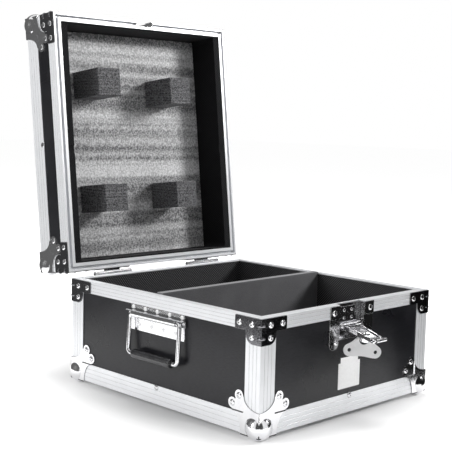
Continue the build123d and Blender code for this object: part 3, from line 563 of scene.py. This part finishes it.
def pad_foam():
    """Grey foam sheet with level bands of painted highlight where its skin shines, and fine grain whose bright
    cells are partly painted glints.
    """
    material, tree, shader = new_finish("grey_foam_pad", (0.3, 0.3, 0.31), 0.0, 0.6, 0.5)
    grain = place_group(tree, foam_grain, {"Cell Scale": 300.0})
    wide = noise_value(tree, stretched(tree, (0.25, 0.1, 15)), 1.6, 2.0, 0.5)
    narrow = noise_value(tree, stretched(tree, (0.5, 0.1, 46)), 1.5, 1.0)
    bands = maths(tree, "MULTIPLY_ADD", narrow, 0.3)
    tree.links.new(wide, bands.node.inputs[2])
    shine_bands = remap(tree, bands, 0.48, 0.82, 0.0, 1.0)
    speckle = remap(tree, grain.outputs["Grain"], 0.36, 0.66, -0.2, 0.4)
    # Painted highlight: the shine bands and the bright grain are painted into the colour, besides being glossier
    lit = maths(tree, "ADD", maths(tree, "MULTIPLY", shine_bands, 0.72), speckle, clamp=True)
    tree.links.new(tinted(tree, lit, (0.12, 0.12, 0.125), (0.90, 0.90, 0.91)), shader.inputs["Base Color"])
    tree.links.new(remap(tree, shine_bands, 0.0, 1.0, 0.7, 0.42), shader.inputs["Roughness"])
    add_bump(tree, shader, grain.outputs["Grain"], 0.0011, 0.9)
    return material


def block_foam():
    """Darker foam of the support blocks, in thin layers."""
    material, tree, shader = new_finish("layered_grey_foam", (0.12, 0.12, 0.125), 0.0, 0.75, 0.3)
    grain = place_group(tree, foam_grain, {"Cell Scale": 420.0})
    layered = noise_value(tree, stretched(tree, (0.02, 0.02, 55)), 7.0, 1.0)
    mixed = maths(tree, "MULTIPLY_ADD", layered, 0.35)
    tree.links.new(grain.outputs["Grain"], mixed.node.inputs[2])
    tree.links.new(
        tinted(tree, remap(tree, mixed, 0.5, 0.86, 0.0, 1.0), (0.012, 0.012, 0.013), (0.25, 0.25, 0.26)),
        shader.inputs["Base Color"],
    )
    add_bump(tree, shader, grain.outputs["Grain"], 0.0007, 0.8)
    return material


def grip_rubber():
    material, tree, shader = new_finish("black_grip", (0.018, 0.018, 0.02), 0.0, 0.28, 0.75)
    cloudy = noise_value(tree, stretched(tree, (1, 1, 1)), 60.0, 4.0)
    tree.links.new(
        tinted(tree, remap(tree, cloudy, 0.3, 0.7, 0.0, 1.0), (0.014, 0.014, 0.016), (0.03, 0.03, 0.033)),
        shader.inputs["Base Color"],
    )
    tree.links.new(remap(tree, cloudy, 0.3, 0.7, 0.22, 0.26), shader.inputs["Roughness"])
    add_bump(tree, shader, noise_value(tree, stretched(tree, (1, 1, 1)), 1400.0), 0.00002, 0.3)
    return material


def plywood():
    material, tree, shader = new_finish("bare_plywood", (0.5, 0.38, 0.25), 0.0, 0.6, 0.35)
    grain = noise_value(tree, stretched(tree, (2, 20, 60)), 12.0, 4.0)
    tree.links.new(
        tinted(tree, remap(tree, grain, 0.3, 0.7, 0.0, 1.0), (0.42, 0.30, 0.18), (0.60, 0.47, 0.32)),
        shader.inputs["Base Color"],
    )
    add_bump(tree, shader, grain, 0.0002, 0.5)
    return material


def blank_paper():
    material, tree, shader = new_finish("blank_white_label", (0.93, 0.93, 0.93), 0.0, 0.5, 0.4)
    fibres = noise_value(tree, stretched(tree, (1, 1, 1)), 400.0, 4.0)
    tree.links.new(
        tinted(tree, remap(tree, fibres, 0.3, 0.7, 0.0, 1.0), (0.90, 0.90, 0.90), (0.95, 0.95, 0.95)),
        shader.inputs["Base Color"],
    )
    tree.links.new(remap(tree, fibres, 0.3, 0.7, 0.4, 0.6), shader.inputs["Roughness"])
    return material


finishes = {
    "edge_aluminium": metal(
        "ribbed_aluminium", (0.86, 0.87, 0.89), (0.82, 0.83, 0.85), 0.34, 0.42, 0.00003,
        metallic=0.4, shade_depth=0.75,
    ),
    "bright_steel": metal(
        "bright_plated_steel", (0.84, 0.84, 0.85), (0.74, 0.74, 0.76), 0.06, 0.16, 0.00002
    ),
    # Painted reflection: plated steel given a near white colour and little metal, standing for the bright
    # reflection of the key and handle rivets
    "steel_painted_bright": metal(
        "plated_steel_painted_bright", (0.94, 0.94, 0.95), (0.91, 0.91, 0.92), 0.36, 0.44, 0.00002, metallic=0.1
    ),
    "dark_plate": metal("dark_plated_steel", (0.27, 0.27, 0.285), (0.21, 0.21, 0.22), 0.10, 0.20, 0.00002),
    "pin_steel": metal("turned_pin_steel", (0.60, 0.60, 0.61), (0.5, 0.5, 0.51), 0.2, 0.35, 0.00003),
    "panel_laminate": laminate(),
    "wall_lining": lining_foam("black_lining", (0.02, 0.02, 0.021), (0.15, 0.15, 0.156)),
    # Painted shade: the lid's lining is a darker copy of the black lining, standing for the shade on the lid's
    # walls
    "lid_lining": lining_foam("black_lid_lining_painted_shade", (0.004, 0.004, 0.005), (0.014, 0.014, 0.016)),
    "divider_wood": plywood(),
    "divider_felt": felt(),
    "pad_foam": pad_foam(),
    "block_foam": block_foam(),
    "grip_rubber": grip_rubber(),
    "label_paper": blank_paper(),
}


# Pieces that keep the frame's shape
def dress_nodes():
    """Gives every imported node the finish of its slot."""
    for name, node in frame["nodes"].items():
        node.data.materials.clear()
        node.data.materials.append(finishes[slot_of_node[name]])


edge_break = 0.18
hardware_break = 0.35
metal_smooth = 35.0


def softened_copy(node, edge):
    """A metal node with its sharp edges broken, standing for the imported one."""
    mesh = welded(node)
    bevel_sharp(mesh, edge * MM)
    make_piece(f"{node}_finished", mesh, body_of_node[node], slot_of_node[node], [node], metal_smooth)


def metal_trim():
    """Edge angles, rims and corner posts with their grooves, and the pressed and bent hardware."""
    for name in ("front", "back", "left", "right"):
        for kind in ("bottom_edge", "base_rim", "lid_edge", "lid_rim"):
            softened_copy(f"{kind}_{name}", edge_break)
    for name in ("base_corner_posts", "lid_corner_posts"):
        softened_copy(name, edge_break)
    for name in (
        "latch_dish", "latch_swing_plate", "latch_keeper", "latch_arm", "latch_hook",
        "hinge_base_leaves", "hinge_lid_leaves",
    ):
        softened_copy(name, hardware_break)


# Foam, felt and lining
skin_wave = 26.0
soft_smooth = 60.0
layer_smooth = 50.0


def soft_copy(name, node, edge, cell, ripple, on_lid):
    """A soft node with rounded edges and a gently uneven skin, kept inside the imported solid."""
    mesh = welded(node)
    if on_lid:
        move_mesh(mesh, lid_swing.inverted())
    bevel_sharp(mesh, edge * MM, segments=3, convex_only=True)
    low, high = extent(mesh.verts)
    for axis in range(3):
        direction = Vector([float(axis == other) for other in range(3)])
        count = int((high[axis] - low[axis]) / (cell * MM))
        for step in range(1, count + 1):
            cut_through(mesh, low + direction * (high[axis] - low[axis]) * step / (count + 1), direction)
    bmesh.ops.recalc_face_normals(mesh, faces=mesh.faces[:])
    mesh.normal_update()
    sinks = [-ripple * MM * (0.5 + 0.5 * noise.noise(vert.co * skin_wave)) for vert in mesh.verts]
    moves = [vert.normal * sink for vert, sink in zip(mesh.verts, sinks)]
    for vert, move in zip(mesh.verts, moves):
        vert.co += move
    if on_lid:
        move_mesh(mesh, lid_swing)
    # The lid's lining takes the darker copy, painted shade for the lid's walls
    finish = "lid_lining" if node == "lid_wall_lining" else None
    piece = make_piece(name, mesh, body_of_node[node], slot_of_node[node], [node], soft_smooth, finish)
    return piece


block_layers = 8
block_slip = 0.5
layer_edge = 0.7


def foam_blocks():
    """Each support block is a stack of thin foam layers, set a little unevenly."""
    source = welded("lid_foam_blocks")
    move_mesh(source, lid_swing.inverted())
    stack = bmesh.new()
    for group in islands(source):
        low, high = extent(group)
        thickness = (high.y - low.y) / block_layers
        for layer in range(block_layers):
            uneven = 0.5 + 0.5 * noise.noise(Vector((low.x * 40, layer * 3.7, 5.1)))
            slip = block_slip * MM * uneven
            size = (high.x - low.x - 2 * slip, thickness, high.z - low.z - slip)
            middle = (low + high) / 2
            middle.y = low.y + (layer + 0.5) * thickness
            middle.z = (low.z + slip + high.z) / 2
            sheet = bmesh.new()
            bmesh.ops.create_cube(sheet, size=1)
            move_mesh(sheet, Matrix.Translation(middle) @ Matrix.Diagonal((*size, 1)))
            bevel_edges(sheet, sheet.edges[:], layer_edge * MM)
            stamp(stack, sheet, at_home)
            sheet.free()
    source.free()
    move_mesh(stack, lid_swing)
    piece = make_piece(
        "foam_block_layers", stack, "lid", "block_foam", ["lid_foam_blocks"], layer_smooth
    )


def soft_pieces():
    soft_copy("foam_pad", "lid_foam_pad", 1.6, 9.0, 0.5, True)
    soft_copy("lid_lining_foam", "lid_wall_lining", 0.9, 14.0, 0.4, True)
    soft_copy("wall_lining_foam", "base_wall_lining", 0.7, 16.0, 0.25, False)
    soft_copy("floor_lining_foam", "base_floor_lining", 0.8, 16.0, 0.3, False)
    cover = soft_copy("divider_cover", "divider_felt", 0.6, 12.0, 0.12, False)
    foam_blocks()


# Rivets
rivet_profile = (
    (4.6, 0.0), (4.55, 0.35), (4.2, 0.95), (3.5, 1.5), (2.5, 1.88), (1.75, 2.0),
    (1.55, 1.9), (1.45, 1.4), (0.8, 1.25), (0, 1.22),
)
small_rivet_profile = ((2.9, 0.0), (2.8, 0.4), (2.3, 0.8), (1.5, 1.05), (0.9, 1.1), (0.75, 0.85), (0, 0.75))


def rivet_seats(node):
    """Where each of a node's rivets sits, and the way it faces."""
    mesh = welded(node)
    seats = []
    mesh.normal_update()
    for group in islands(mesh):
        faces = {face for vert in group for face in vert.link_faces}
        base = max(faces, key=lambda face: face.calc_area())
        seats.append((base.calc_center_median(), -base.normal))
    mesh.free()
    return seats


def rivet_heads():
    head = turned(rivet_profile)
    for node, body in (("base_rivets", "base"), ("lid_rivets", "lid")):
        heads = bmesh.new()
        for place, normal in rivet_seats(node):
            stamp(heads, head, facing(place, normal))
        make_piece(f"{body}_rivet_heads", heads, body, "bright_steel", [node])
    head.free()


# Ball corners
ball_radius = 19.75
ball_inset = 11.5
ball_flat = 0.25
dome_rim = 0.8
leaf_sheet = 1.5
leaf_near = 40.5
leaf_far = 53.5
leaf_lobe = 8.2
leaf_arch_start = 35.0
leaf_ramp = 1.6
pressed_edge = 0.4
edge_leg = 30.0
edge_sheet = 1.5


def leaf_plate():
    """One leaf with two lobes and two arches, stepped down onto the panel. Outward is +Z."""
    outer = -leaf_sheet
    arch = leaf_far - leaf_arch_start
    outline = [(outer, outer), (leaf_arch_start, outer)]
    past_edge = edge_leg + 0.1
    outline += polygon_arc((leaf_far, 0), arch, edge_leg, 176, 94, 14) + [(leaf_far, past_edge)]
    outline += polygon_arc((leaf_far, leaf_near), leaf_lobe, leaf_lobe, -85, 130, 22)
    outline += polygon_arc((leaf_near, leaf_far), leaf_lobe, leaf_lobe, -40, 175, 22)
    outline += [(past_edge, leaf_far)] + polygon_arc((0, leaf_far), edge_leg, arch, -4, -86, 14)
    outline += [(outer, leaf_arch_start)]
    return sheet_plate([outline], leaf_sheet, pressed_edge, step=(edge_leg, leaf_ramp, edge_sheet))


def ball_dome():
    """The part of the ball that stands out of the case corner, cut just inside the leaves."""
    mesh = bmesh.new()
    bmesh.ops.create_icosphere(mesh, subdivisions=4, radius=ball_radius * MM)
    bmesh.ops.translate(mesh, verts=mesh.verts[:], vec=(ball_inset * MM,) * 3)
    inside = -dome_rim * MM
    for axis in ((1, 0, 0), (0, 1, 0), (0, 0, 1)):
        cut_through(mesh, Vector(axis) * inside, axis)
    hidden = [face for face in mesh.faces if min(face.calc_center_median()) > inside]
    bmesh.ops.delete(mesh, geom=hidden, context="FACES")
    flat = (ball_inset + ball_flat - ball_radius) * MM
    for vert in mesh.verts:
        vert.co = [max(value, flat) for value in vert.co]
    return mesh


def ball_corners():
    corner = ball_dome()
    leaf = leaf_plate()
    turn_over = Matrix.Scale(-1, 4, Vector((0, 0, 1)))
    for turn in (0, 120, 240):
        stamp(corner, leaf, Matrix.Rotation(radians(turn), 4, Vector((1, 1, 1))) @ turn_over)
    top_z = lid_top()
    for body, z, up, swing in (("base", under_z, 1, at_home), ("lid", top_z, -1, lid_swing)):
        corners = bmesh.new()
        for side, end in corner_signs:
            stamp(corners, corner, swing @ corner_place(side, end, z, up))
        make_piece(f"{body}_corner_castings", corners, body, "bright_steel", [f"{body}_ball_corners"])
    corner.free()
    leaf.free()


def lid_top():
    """Height of the lid's top edge angles on the closed lid."""
    closed = lid_swing.inverted()
    return max((closed @ vert.co).z for vert in frame["nodes"]["lid_edge_front"].data.vertices)


# Braces
brace_sheet = 1.2
brace_drop = 1.0
brace_arm = 51.0
brace_arm_height = 19.5
brace_leg = 29.5
brace_leg_height = 38.0
brace_toe = 14.0
brace_corner = 2.0
brace_bead_profile = ((0, -1.7), (4.4, -1.7), (5.5, -1.2), (6.0, 0), (5.5, 1.2), (4.4, 1.7), (0, 1.7))
brace_bead_inset = 2.5
brace_bead_drops = (10.0, 28.0)

# Stands a sheet drawn in X and Y upright: its Y runs up and its thickness towards -Y
upright = Matrix.Rotation(pi / 2, 4, "X")
swap_sides = Matrix(((0, 1, 0, 0), (1, 0, 0, 0), (0, 0, 1, 0), (0, 0, 0, 1)))


def brace():
    """A brace at a corner of its own: two plates with rounded toes and two beads pressed over the bend."""
    corner = brace_corner
    far = brace_leg - brace_toe
    outline = [(-brace_sheet, 0)]
    outline += polygon_arc((brace_arm - corner, corner), corner, corner, -90, 0, 4)
    outline += polygon_arc((brace_arm - corner, brace_arm_height - corner), corner, corner, 0, 90, 4)
    outline += polygon_arc((brace_leg + 1, brace_arm_height + 1), 1, 1, 270, 180, 3)
    outline += polygon_arc((far, brace_leg_height - brace_toe), brace_toe, brace_toe, 0, 90, 12)
    outline += [(-brace_sheet, brace_leg_height)]
    plate = sheet_plate([outline], brace_sheet, pressed_edge)
    whole = bmesh.new()
    stamp(whole, plate, upright)
    stamp(whole, plate, swap_sides @ upright)
    plate.free()
    bead = turned(brace_bead_profile, 32)
    hidden = [face for face in bead.faces if min(face.calc_center_median().xy) > -brace_bead_inset * MM]
    bmesh.ops.delete(bead, geom=hidden, context="FACES")
    for drop in brace_bead_drops:
        place = Vector((brace_bead_inset, brace_bead_inset, drop)) * MM
        stamp(whole, bead, Matrix.Translation(place))
    bead.free()
    return whole


def braces():
    whole = brace()
    base_z = seam_z - brace_drop * MM
    lid_z = lid_seam_z + brace_drop * MM
    for body, z, up, swing in (("base", base_z, -1, at_home), ("lid", lid_z, 1, lid_swing)):
        group = bmesh.new()
        for side, end in corner_signs:
            stamp(group, whole, swing @ corner_place(side, end, z, up))
        make_piece(f"{body}_corner_braces", group, body, "dark_plate", [f"{body}_rim_braces"])
    whole.free()


# Handles, drawn with X along the case side, Y out of it and Z up, from the seam's outer edge
handle_axis_drop = 33.6
handle_axis_stand = 6.0
bail_radius = 3.5
bail_width = 123.0
bail_drop = 62.2
bail_stand = 9.4
bail_bend = 7.0
bail_steps = 8
grip_profile = (
    (0, -44.2), (3.6, -44.2), (5.9, -44.9), (6.9, -44.5), (7.4, -43.2), (7.5, -41.0), (7.35, -30.0),
    (7.4, -10.0), (7.35, 12.0), (7.4, 30.0), (7.5, 41.0), (7.4, 43.2), (6.9, 44.5), (5.9, 44.9),
    (3.6, 44.2), (0, 44.2),
)
plate_rivets = [(x, -24.4) for x in (-57, -28.5, 0, 28.5, 57)]
plate_rivet_share = 0.8
skirt_rivets = [(x, -50.5) for x in (-42, -14, 14, 42)]
lie_along_x = Matrix.Rotation(pi / 2, 4, "Y")


def bail():
    """Bent wire: two stubs, two legs and the bar that carries the grip."""
    half = bail_width / 2 - bail_radius
    down = Vector((0, bail_stand - handle_axis_stand, -bail_drop))
    leg = down.length
    turns = [radians(90 * step / bail_steps) for step in range(bail_steps + 1)]
    upper = [(half - bail_bend * (1 - sin(turn)), bail_bend * (1 - cos(turn))) for turn in turns]
    lower = [(along, leg - depth) for along, depth in reversed(upper)]
    right = [(half - 2 * bail_bend, 0), *upper, *lower]
    left = [(-along, depth) for along, depth in reversed(right)]
    start = Vector((0, handle_axis_stand, -handle_axis_drop))
    fall = down.normalized()
    points = [(start + Vector((along, 0, 0)) + fall * depth) * MM for along, depth in right + left]
    return wire(points, bail_radius * MM, down.cross(Vector((1, 0, 0))))


def handles():
    """Both handles: a softened plate with its small rivets, a smooth bail and a moulded grip."""
    small_rivet = turned(small_rivet_profile, 20)
    plate_rivet = turned([(share * plate_rivet_share for share in pair) for pair in rivet_profile], 24)
    grip = turned(grip_profile, 32)
    ring = bail()
    grip_middle = Vector((0, bail_stand, -handle_axis_drop - bail_drop))
    grip_place = Matrix.Translation(grip_middle * MM) @ lie_along_x
    for side, name in ((-1, "left"), (1, "right")):
        place = Matrix.Translation((side * half_width, 0, seam_z)) @ Matrix.Rotation(-side * pi / 2, 4, "Z")
        softened_copy(f"handle_plate_{name}", hardware_break)
        rivets = bmesh.new()
        for head, spots in ((plate_rivet, plate_rivets), (small_rivet, skirt_rivets)):
            for x, z in spots:
                stamp(rivets, head, place @ facing(Vector((x, 0, z)) * MM, (0, 1, 0)))
        make_piece(f"handle_rivets_{name}", rivets, "base", "bright_steel", finish="steel_painted_bright")
        for what, source, within, slot in (
            ("bail", ring, at_home, "bright_steel"),
            ("grip", grip, grip_place, "grip_rubber"),
        ):
            mesh = bmesh.new()
            stamp(mesh, source, place @ within)
            make_piece(
                f"{name}_{what}", mesh, f"{name}_handle", slot, [f"handle_{what}_{name}"], soft_smooth
            )
    for mesh in (small_rivet, plate_rivet, grip, ring):
        mesh.free()


# Latch: pin, rivets in the dish, spindle and butterfly key
arm_tilt = radians(15.0)
arm_outer = 3.9
spindle_place = 32.5
cross_pin_height = 6.3
key_twist = radians(30.0)
key_sheet = 2.0
key_notch = 8.2
key_knuckle = 2.7
key_knuckle_end = 11.8
knuckle_edge = 0.4
key_top = 13.7
key_lobe = 9.5
key_spread = 21.5
key_drop = 18.1
key_hole = 2.9
key_waist = 1.5
key_sag = 0.9
key_edge = 0.45
key_shoulder = 53.0
swing_rivets = [(x, drop) for x in (-9, 9) for drop in (12, 24)]
swing_plate_depth = 8.3
hollow_pin_profile = (
    (0, -22.6), (1.45, -22.6), (1.5, -23.9), (1.75, -24.0), (2.2, -23.7),
    (2.2, 23.7), (1.75, 24.0), (1.5, 23.9), (1.45, 22.6), (0, 22.6),
)
spindle_profile = (
    (0, -1.1), (6.2, -1.1), (6.5, -0.85), (6.5, -0.35), (6.2, -0.1), (4.0, -0.1), (4.0, 4.2), (7.0, 4.2),
    (7.4, 4.5), (7.5, 5.0), (7.5, 12.2), (7.3, 12.7), (6.8, 13.0), (5.2, 13.0), (4.9, 12.6), (4.9, 11.6),
    (0, 11.5),
)
cross_pin_profile = ((0, -11.7), (1.2, -11.7), (1.5, -11.4), (1.5, 11.4), (1.2, 11.7), (0, 11.7))


def key_outline():
    """Butterfly wings: X runs along the cross pin and Y the way the key hangs."""
    half = [(key_notch, 0), (key_top, 0)]
    far = key_spread + key_lobe * cos(radians(key_shoulder))
    low = key_drop - key_lobe * sin(radians(key_shoulder))
    for step in range(1, 6):
        share = step / 6
        sag = key_sag * sin(pi * share)
        half.append((key_top + (far - key_top) * share - sag * 0.6, low * share + sag * 0.8))
    half += polygon_arc((key_spread, key_drop), key_lobe, key_lobe, -key_shoulder, 96, 24)
    reach = key_spread - 2
    for step in range(1, 9):
        x = reach * (1 - step / 8)
        half.append((x, key_drop + key_lobe - key_waist * (0.5 + 0.5 * cos(pi * x / reach))))
    left = [(-x, y) for x, y in reversed(half[:-1])]
    return half + left + polygon_arc((0, 0), key_notch, key_notch, 180, 0, 18)[1:-1]


def butterfly_key(arm):
    holes = [round_hole((side * key_spread, key_drop), key_hole) for side in (-1, 1)]
    plate = sheet_plate([key_outline(), *holes], key_sheet, key_edge)
    knuckle_end = (key_knuckle_end - key_notch) / 2
    shoulder = knuckle_end - knuckle_edge
    face = key_knuckle - knuckle_edge
    half = [(key_knuckle, shoulder), (face, knuckle_end), (0, knuckle_end)]
    knuckle = turned([(radius, -height) for radius, height in reversed(half)] + half, 24)
    key = bmesh.new()
    stamp(key, plate, Matrix.Translation((0, 0, -key_sheet / 2 * MM)))
    for side in (-1, 1):
        middle = side * (key_notch + knuckle_end) * MM
        stamp(key, knuckle, Matrix.Translation((middle, 0, 0)) @ lie_along_x)
    cross = arm.to_3x3() @ Vector((cos(key_twist), sin(key_twist), 0))
    down = Vector((0, 0, -1))
    hang = (down - cross * down.dot(cross)).normalized()
    pivot = arm @ (Vector((0, spindle_place, arm_outer + cross_pin_height)) * MM)
    move_mesh(key, axes_at(pivot, cross, hang))
    make_piece("wing_key", key, "key", "bright_steel", ["butterfly_key"], finish="steel_painted_bright")
    plate.free()
    knuckle.free()


def latch_details():
    pivot = Vector(joints["latch_arm_swing"]["pos_m"])
    arm = axes_at(pivot, (1, 0, 0), (0, -cos(arm_tilt), -sin(arm_tilt)))
    pin = turned(hollow_pin_profile, 24)
    move_mesh(pin, Matrix.Translation(pivot) @ lie_along_x)
    make_piece("hollow_latch_pin", pin, "base", "pin_steel", ["latch_pin"])

    small_rivet = turned(small_rivet_profile, 20)
    rivets = bmesh.new()
    for x, drop in swing_rivets:
        place = Vector((x * MM, -half_depth + swing_plate_depth * MM, seam_z - drop * MM))
        stamp(rivets, small_rivet, facing(place, (0, -1, 0)))
    small_rivet.free()
    make_piece("swing_plate_rivets", rivets, "base", "bright_steel")

    spindle = turned(spindle_profile, 32)
    cross_pin = turned(cross_pin_profile, 20)
    lift = Matrix.Translation((0, 0, (arm_outer + cross_pin_height) * MM))
    stamp(spindle, cross_pin, lift @ lie_along_x)
    cross_pin.free()
    stand = arm @ Matrix.Translation((0, spindle_place * MM, 0)) @ Matrix.Rotation(key_twist, 4, "Z")
    move_mesh(spindle, stand)
    make_piece("turned_spindle", spindle, "key_spindle", "bright_steel", ["key_spindle"])
    butterfly_key(arm)


# Blank label on the front panel
label_left = -27.0
label_right = 25.0
label_low = 38.5
label_high = 79.0
label_tab_left = -22.0
label_tab_right = 20.0
label_tab_high = 87.0
label_corner = 1.2
label_edge = 0.06
label_sheet = 0.25


def blank_label():
    """Plain white label with a narrower strip above it and nothing printed on it."""
    outline = []
    for x, z, start in (
        (label_right, label_low, -90), (label_right, label_high, 0),
        (label_left, label_high, 90), (label_left, label_low, 180),
    ):
        centre_x = x - label_corner if x == label_right else x + label_corner
        centre_z = z - label_corner if z == label_high else z + label_corner
        outline += polygon_arc((centre_x, centre_z), label_corner, label_corner, start, start + 90, 4)
    strip = [
        (label_tab_left, label_high - 0.5), (label_tab_right, label_high - 0.5),
        (label_tab_right, label_tab_high), (label_tab_left, label_tab_high),
    ]
    label = bmesh.new()
    place = Matrix.Translation((0, -half_depth + edge_sheet * MM, under_z)) @ upright
    for loop, thickness in ((outline, label_sheet), (strip, label_sheet * 0.6)):
        sheet = sheet_plate([loop], thickness, label_edge)
        stamp(label, sheet, place)
        sheet.free()
    make_piece("blank_label", label, "base", None, finish="label_paper")


# Floor, lamps, background and camera
camera_place = (-1.1930, -1.1505, 0.4508)
camera_yaw = 44.65
camera_pitch = 6.10
camera_roll = 1.34
camera_lens = 79.85


def make_camera():
    """The photograph's viewpoint: yaw from +Y towards +X, pitch down and a slight roll."""
    yaw, pitch, roll = radians(camera_yaw), radians(camera_pitch), radians(camera_roll)
    forward = Vector((sin(yaw) * cos(pitch), cos(yaw) * cos(pitch), -sin(pitch)))
    right = Vector((cos(yaw), -sin(yaw), 0))
    upward = right.cross(forward)
    rolled_right = right * cos(roll) + upward * sin(roll)
    rolled_up = upward * cos(roll) - right * sin(roll)
    camera = bpy.data.objects.new("camera", bpy.data.cameras.new("camera"))
    place = Matrix((rolled_right, rolled_up, -forward)).transposed().to_4x4()
    place.translation = camera_place
    camera.matrix_world = place
    camera.data.lens = camera_lens
    camera.data.sensor_width = 36
    scene.collection.objects.link(camera)
    scene.camera = camera


floor_colour = 0.86
floor_lift_near = 0.02
floor_lift_far = 0.85
floor_near = 0.2
floor_far = 0.47
floor_half = 14.0


def shown_directly(tree):
    """1 for what the camera, metal and glass see, and 0 for what lights the object."""
    path = tree.nodes.new("ShaderNodeLightPath")
    seen = maths(tree, "MAXIMUM", path.outputs["Is Camera Ray"], path.outputs["Is Glossy Ray"])
    return maths(tree, "MAXIMUM", seen, path.outputs["Is Transmission Ray"])


def pale_floor():
    """A level floor that keeps the case's shadow near the case and glows further out: painted light that clips it
    to white and whitens the shadow there.
    """
    mesh = bmesh.new()
    bmesh.ops.create_grid(mesh, x_segments=1, y_segments=1, size=floor_half)
    data = bpy.data.meshes.new("studio_floor")
    mesh.to_mesh(data)
    mesh.free()
    floor = bpy.data.objects.new("studio_floor", data)
    floor.location.z = floor_z
    scene.collection.objects.link(floor)
    material, tree, shader = new_finish("studio_floor", (floor_colour,) * 3, 0.0, 1.0, 0.0)
    shader.inputs["Emission Color"].default_value = (1, 1, 1, 1)
    coordinates = tree.nodes.new("ShaderNodeTexCoord")
    distance = tree.nodes.new("ShaderNodeVectorMath")
    distance.operation = "LENGTH"
    tree.links.new(coordinates.outputs["Object"], distance.inputs[0])
    # Painted light: the floor glows more with distance from the case, hiding the far part of its shadow
    lift = remap(tree, distance.outputs["Value"], floor_near, floor_far, floor_lift_near, floor_lift_far)
    tree.links.new(maths(tree, "MULTIPLY", shown_directly(tree), lift), shader.inputs["Emission Strength"])
    data.materials.append(material)


def reflection_card(name, place, facing_turn, width, height, level):
    """Upright studio card that only mirrors see: it stands on the floor and gives chrome its dark side."""
    mesh = bmesh.new()
    bmesh.ops.create_grid(mesh, x_segments=1, y_segments=1, size=0.5)
    bmesh.ops.scale(mesh, vec=(width, height, 1), verts=mesh.verts[:])
    data = bpy.data.meshes.new(name)
    mesh.to_mesh(data)
    mesh.free()
    card = bpy.data.objects.new(name, data)
    card.rotation_euler = (pi / 2, 0, radians(facing_turn))
    card.location = (*place, floor_z + height / 2)
    scene.collection.objects.link(card)
    card.visible_camera = False
    card.visible_diffuse = False
    card.visible_shadow = False
    card.visible_transmission = False
    material, _, shader = new_finish(name, (0, 0, 0), 0.0, 1.0, 0.0)
    shader.inputs["Emission Color"].default_value = (1, 1, 1, 1)
    shader.inputs["Emission Strength"].default_value = level
    data.materials.append(material)


def reflection_cards():
    reflection_card("left_card", (-0.64, 1.0), 90, 2.1, 1.3, 0.14)
    reflection_card("front_card", (0.72, -0.43), 0, 1.5, 0.9, 0.012)
    reflection_card("corner_card", (0.38, -0.285), 0, 0.36, 0.10, 0.012)
    reflection_card("near_card", (-0.44, -0.52), -45, 0.5, 0.5, 0.08)
    reflection_card("back_card", (0.0, 0.64), 0, 1.3, 0.9, 0.14)
    reflection_card("right_card", (0.64, 0.15), 90, 0.9, 0.9, 0.14)


world_level = 0.16


def studio_background():
    """White to look at, and a plain soft level of light on the object."""
    world = bpy.data.worlds.new("studio")
    scene.world = world
    world.use_nodes = True
    tree = world.node_tree
    background = tree.nodes["Background"]
    strength = remap(tree, shown_directly(tree), 0.0, 1.0, world_level, 1.0)
    tree.links.new(strength, background.inputs["Strength"])
    background.inputs["Color"].default_value = (1, 1, 1, 1)


def softbox(name, place, aim, size, power):
    lamp = bpy.data.lights.new(name, "AREA")
    lamp.shape = "SQUARE"
    lamp.size = size
    lamp.energy = power
    holder = bpy.data.objects.new(name, lamp)
    holder.location = place
    holder.rotation_mode = "QUATERNION"
    holder.rotation_quaternion = (Vector(aim) - Vector(place)).to_track_quat("-Z", "Y")
    scene.collection.objects.link(holder)


def lamps():
    softbox("key_softbox", (1.7, -1.5, 1.4), (0, 0.2, 0.3), 0.6, 41)
    softbox("top_softbox", (0.3, 0.2, 2.6), (0, 0, 0.1), 1.2, 40)
    softbox("left_softbox", (-2.1, 0.9, 0.9), (-0.2, 0.1, 0.2), 1.2, 34)


dress_nodes()
metal_trim()
soft_pieces()
rivet_heads()
ball_corners()
braces()
handles()
latch_details()
blank_label()
make_camera()
pale_floor()
reflection_cards()
studio_background()
lamps()

scene.view_settings.view_transform = "Standard"
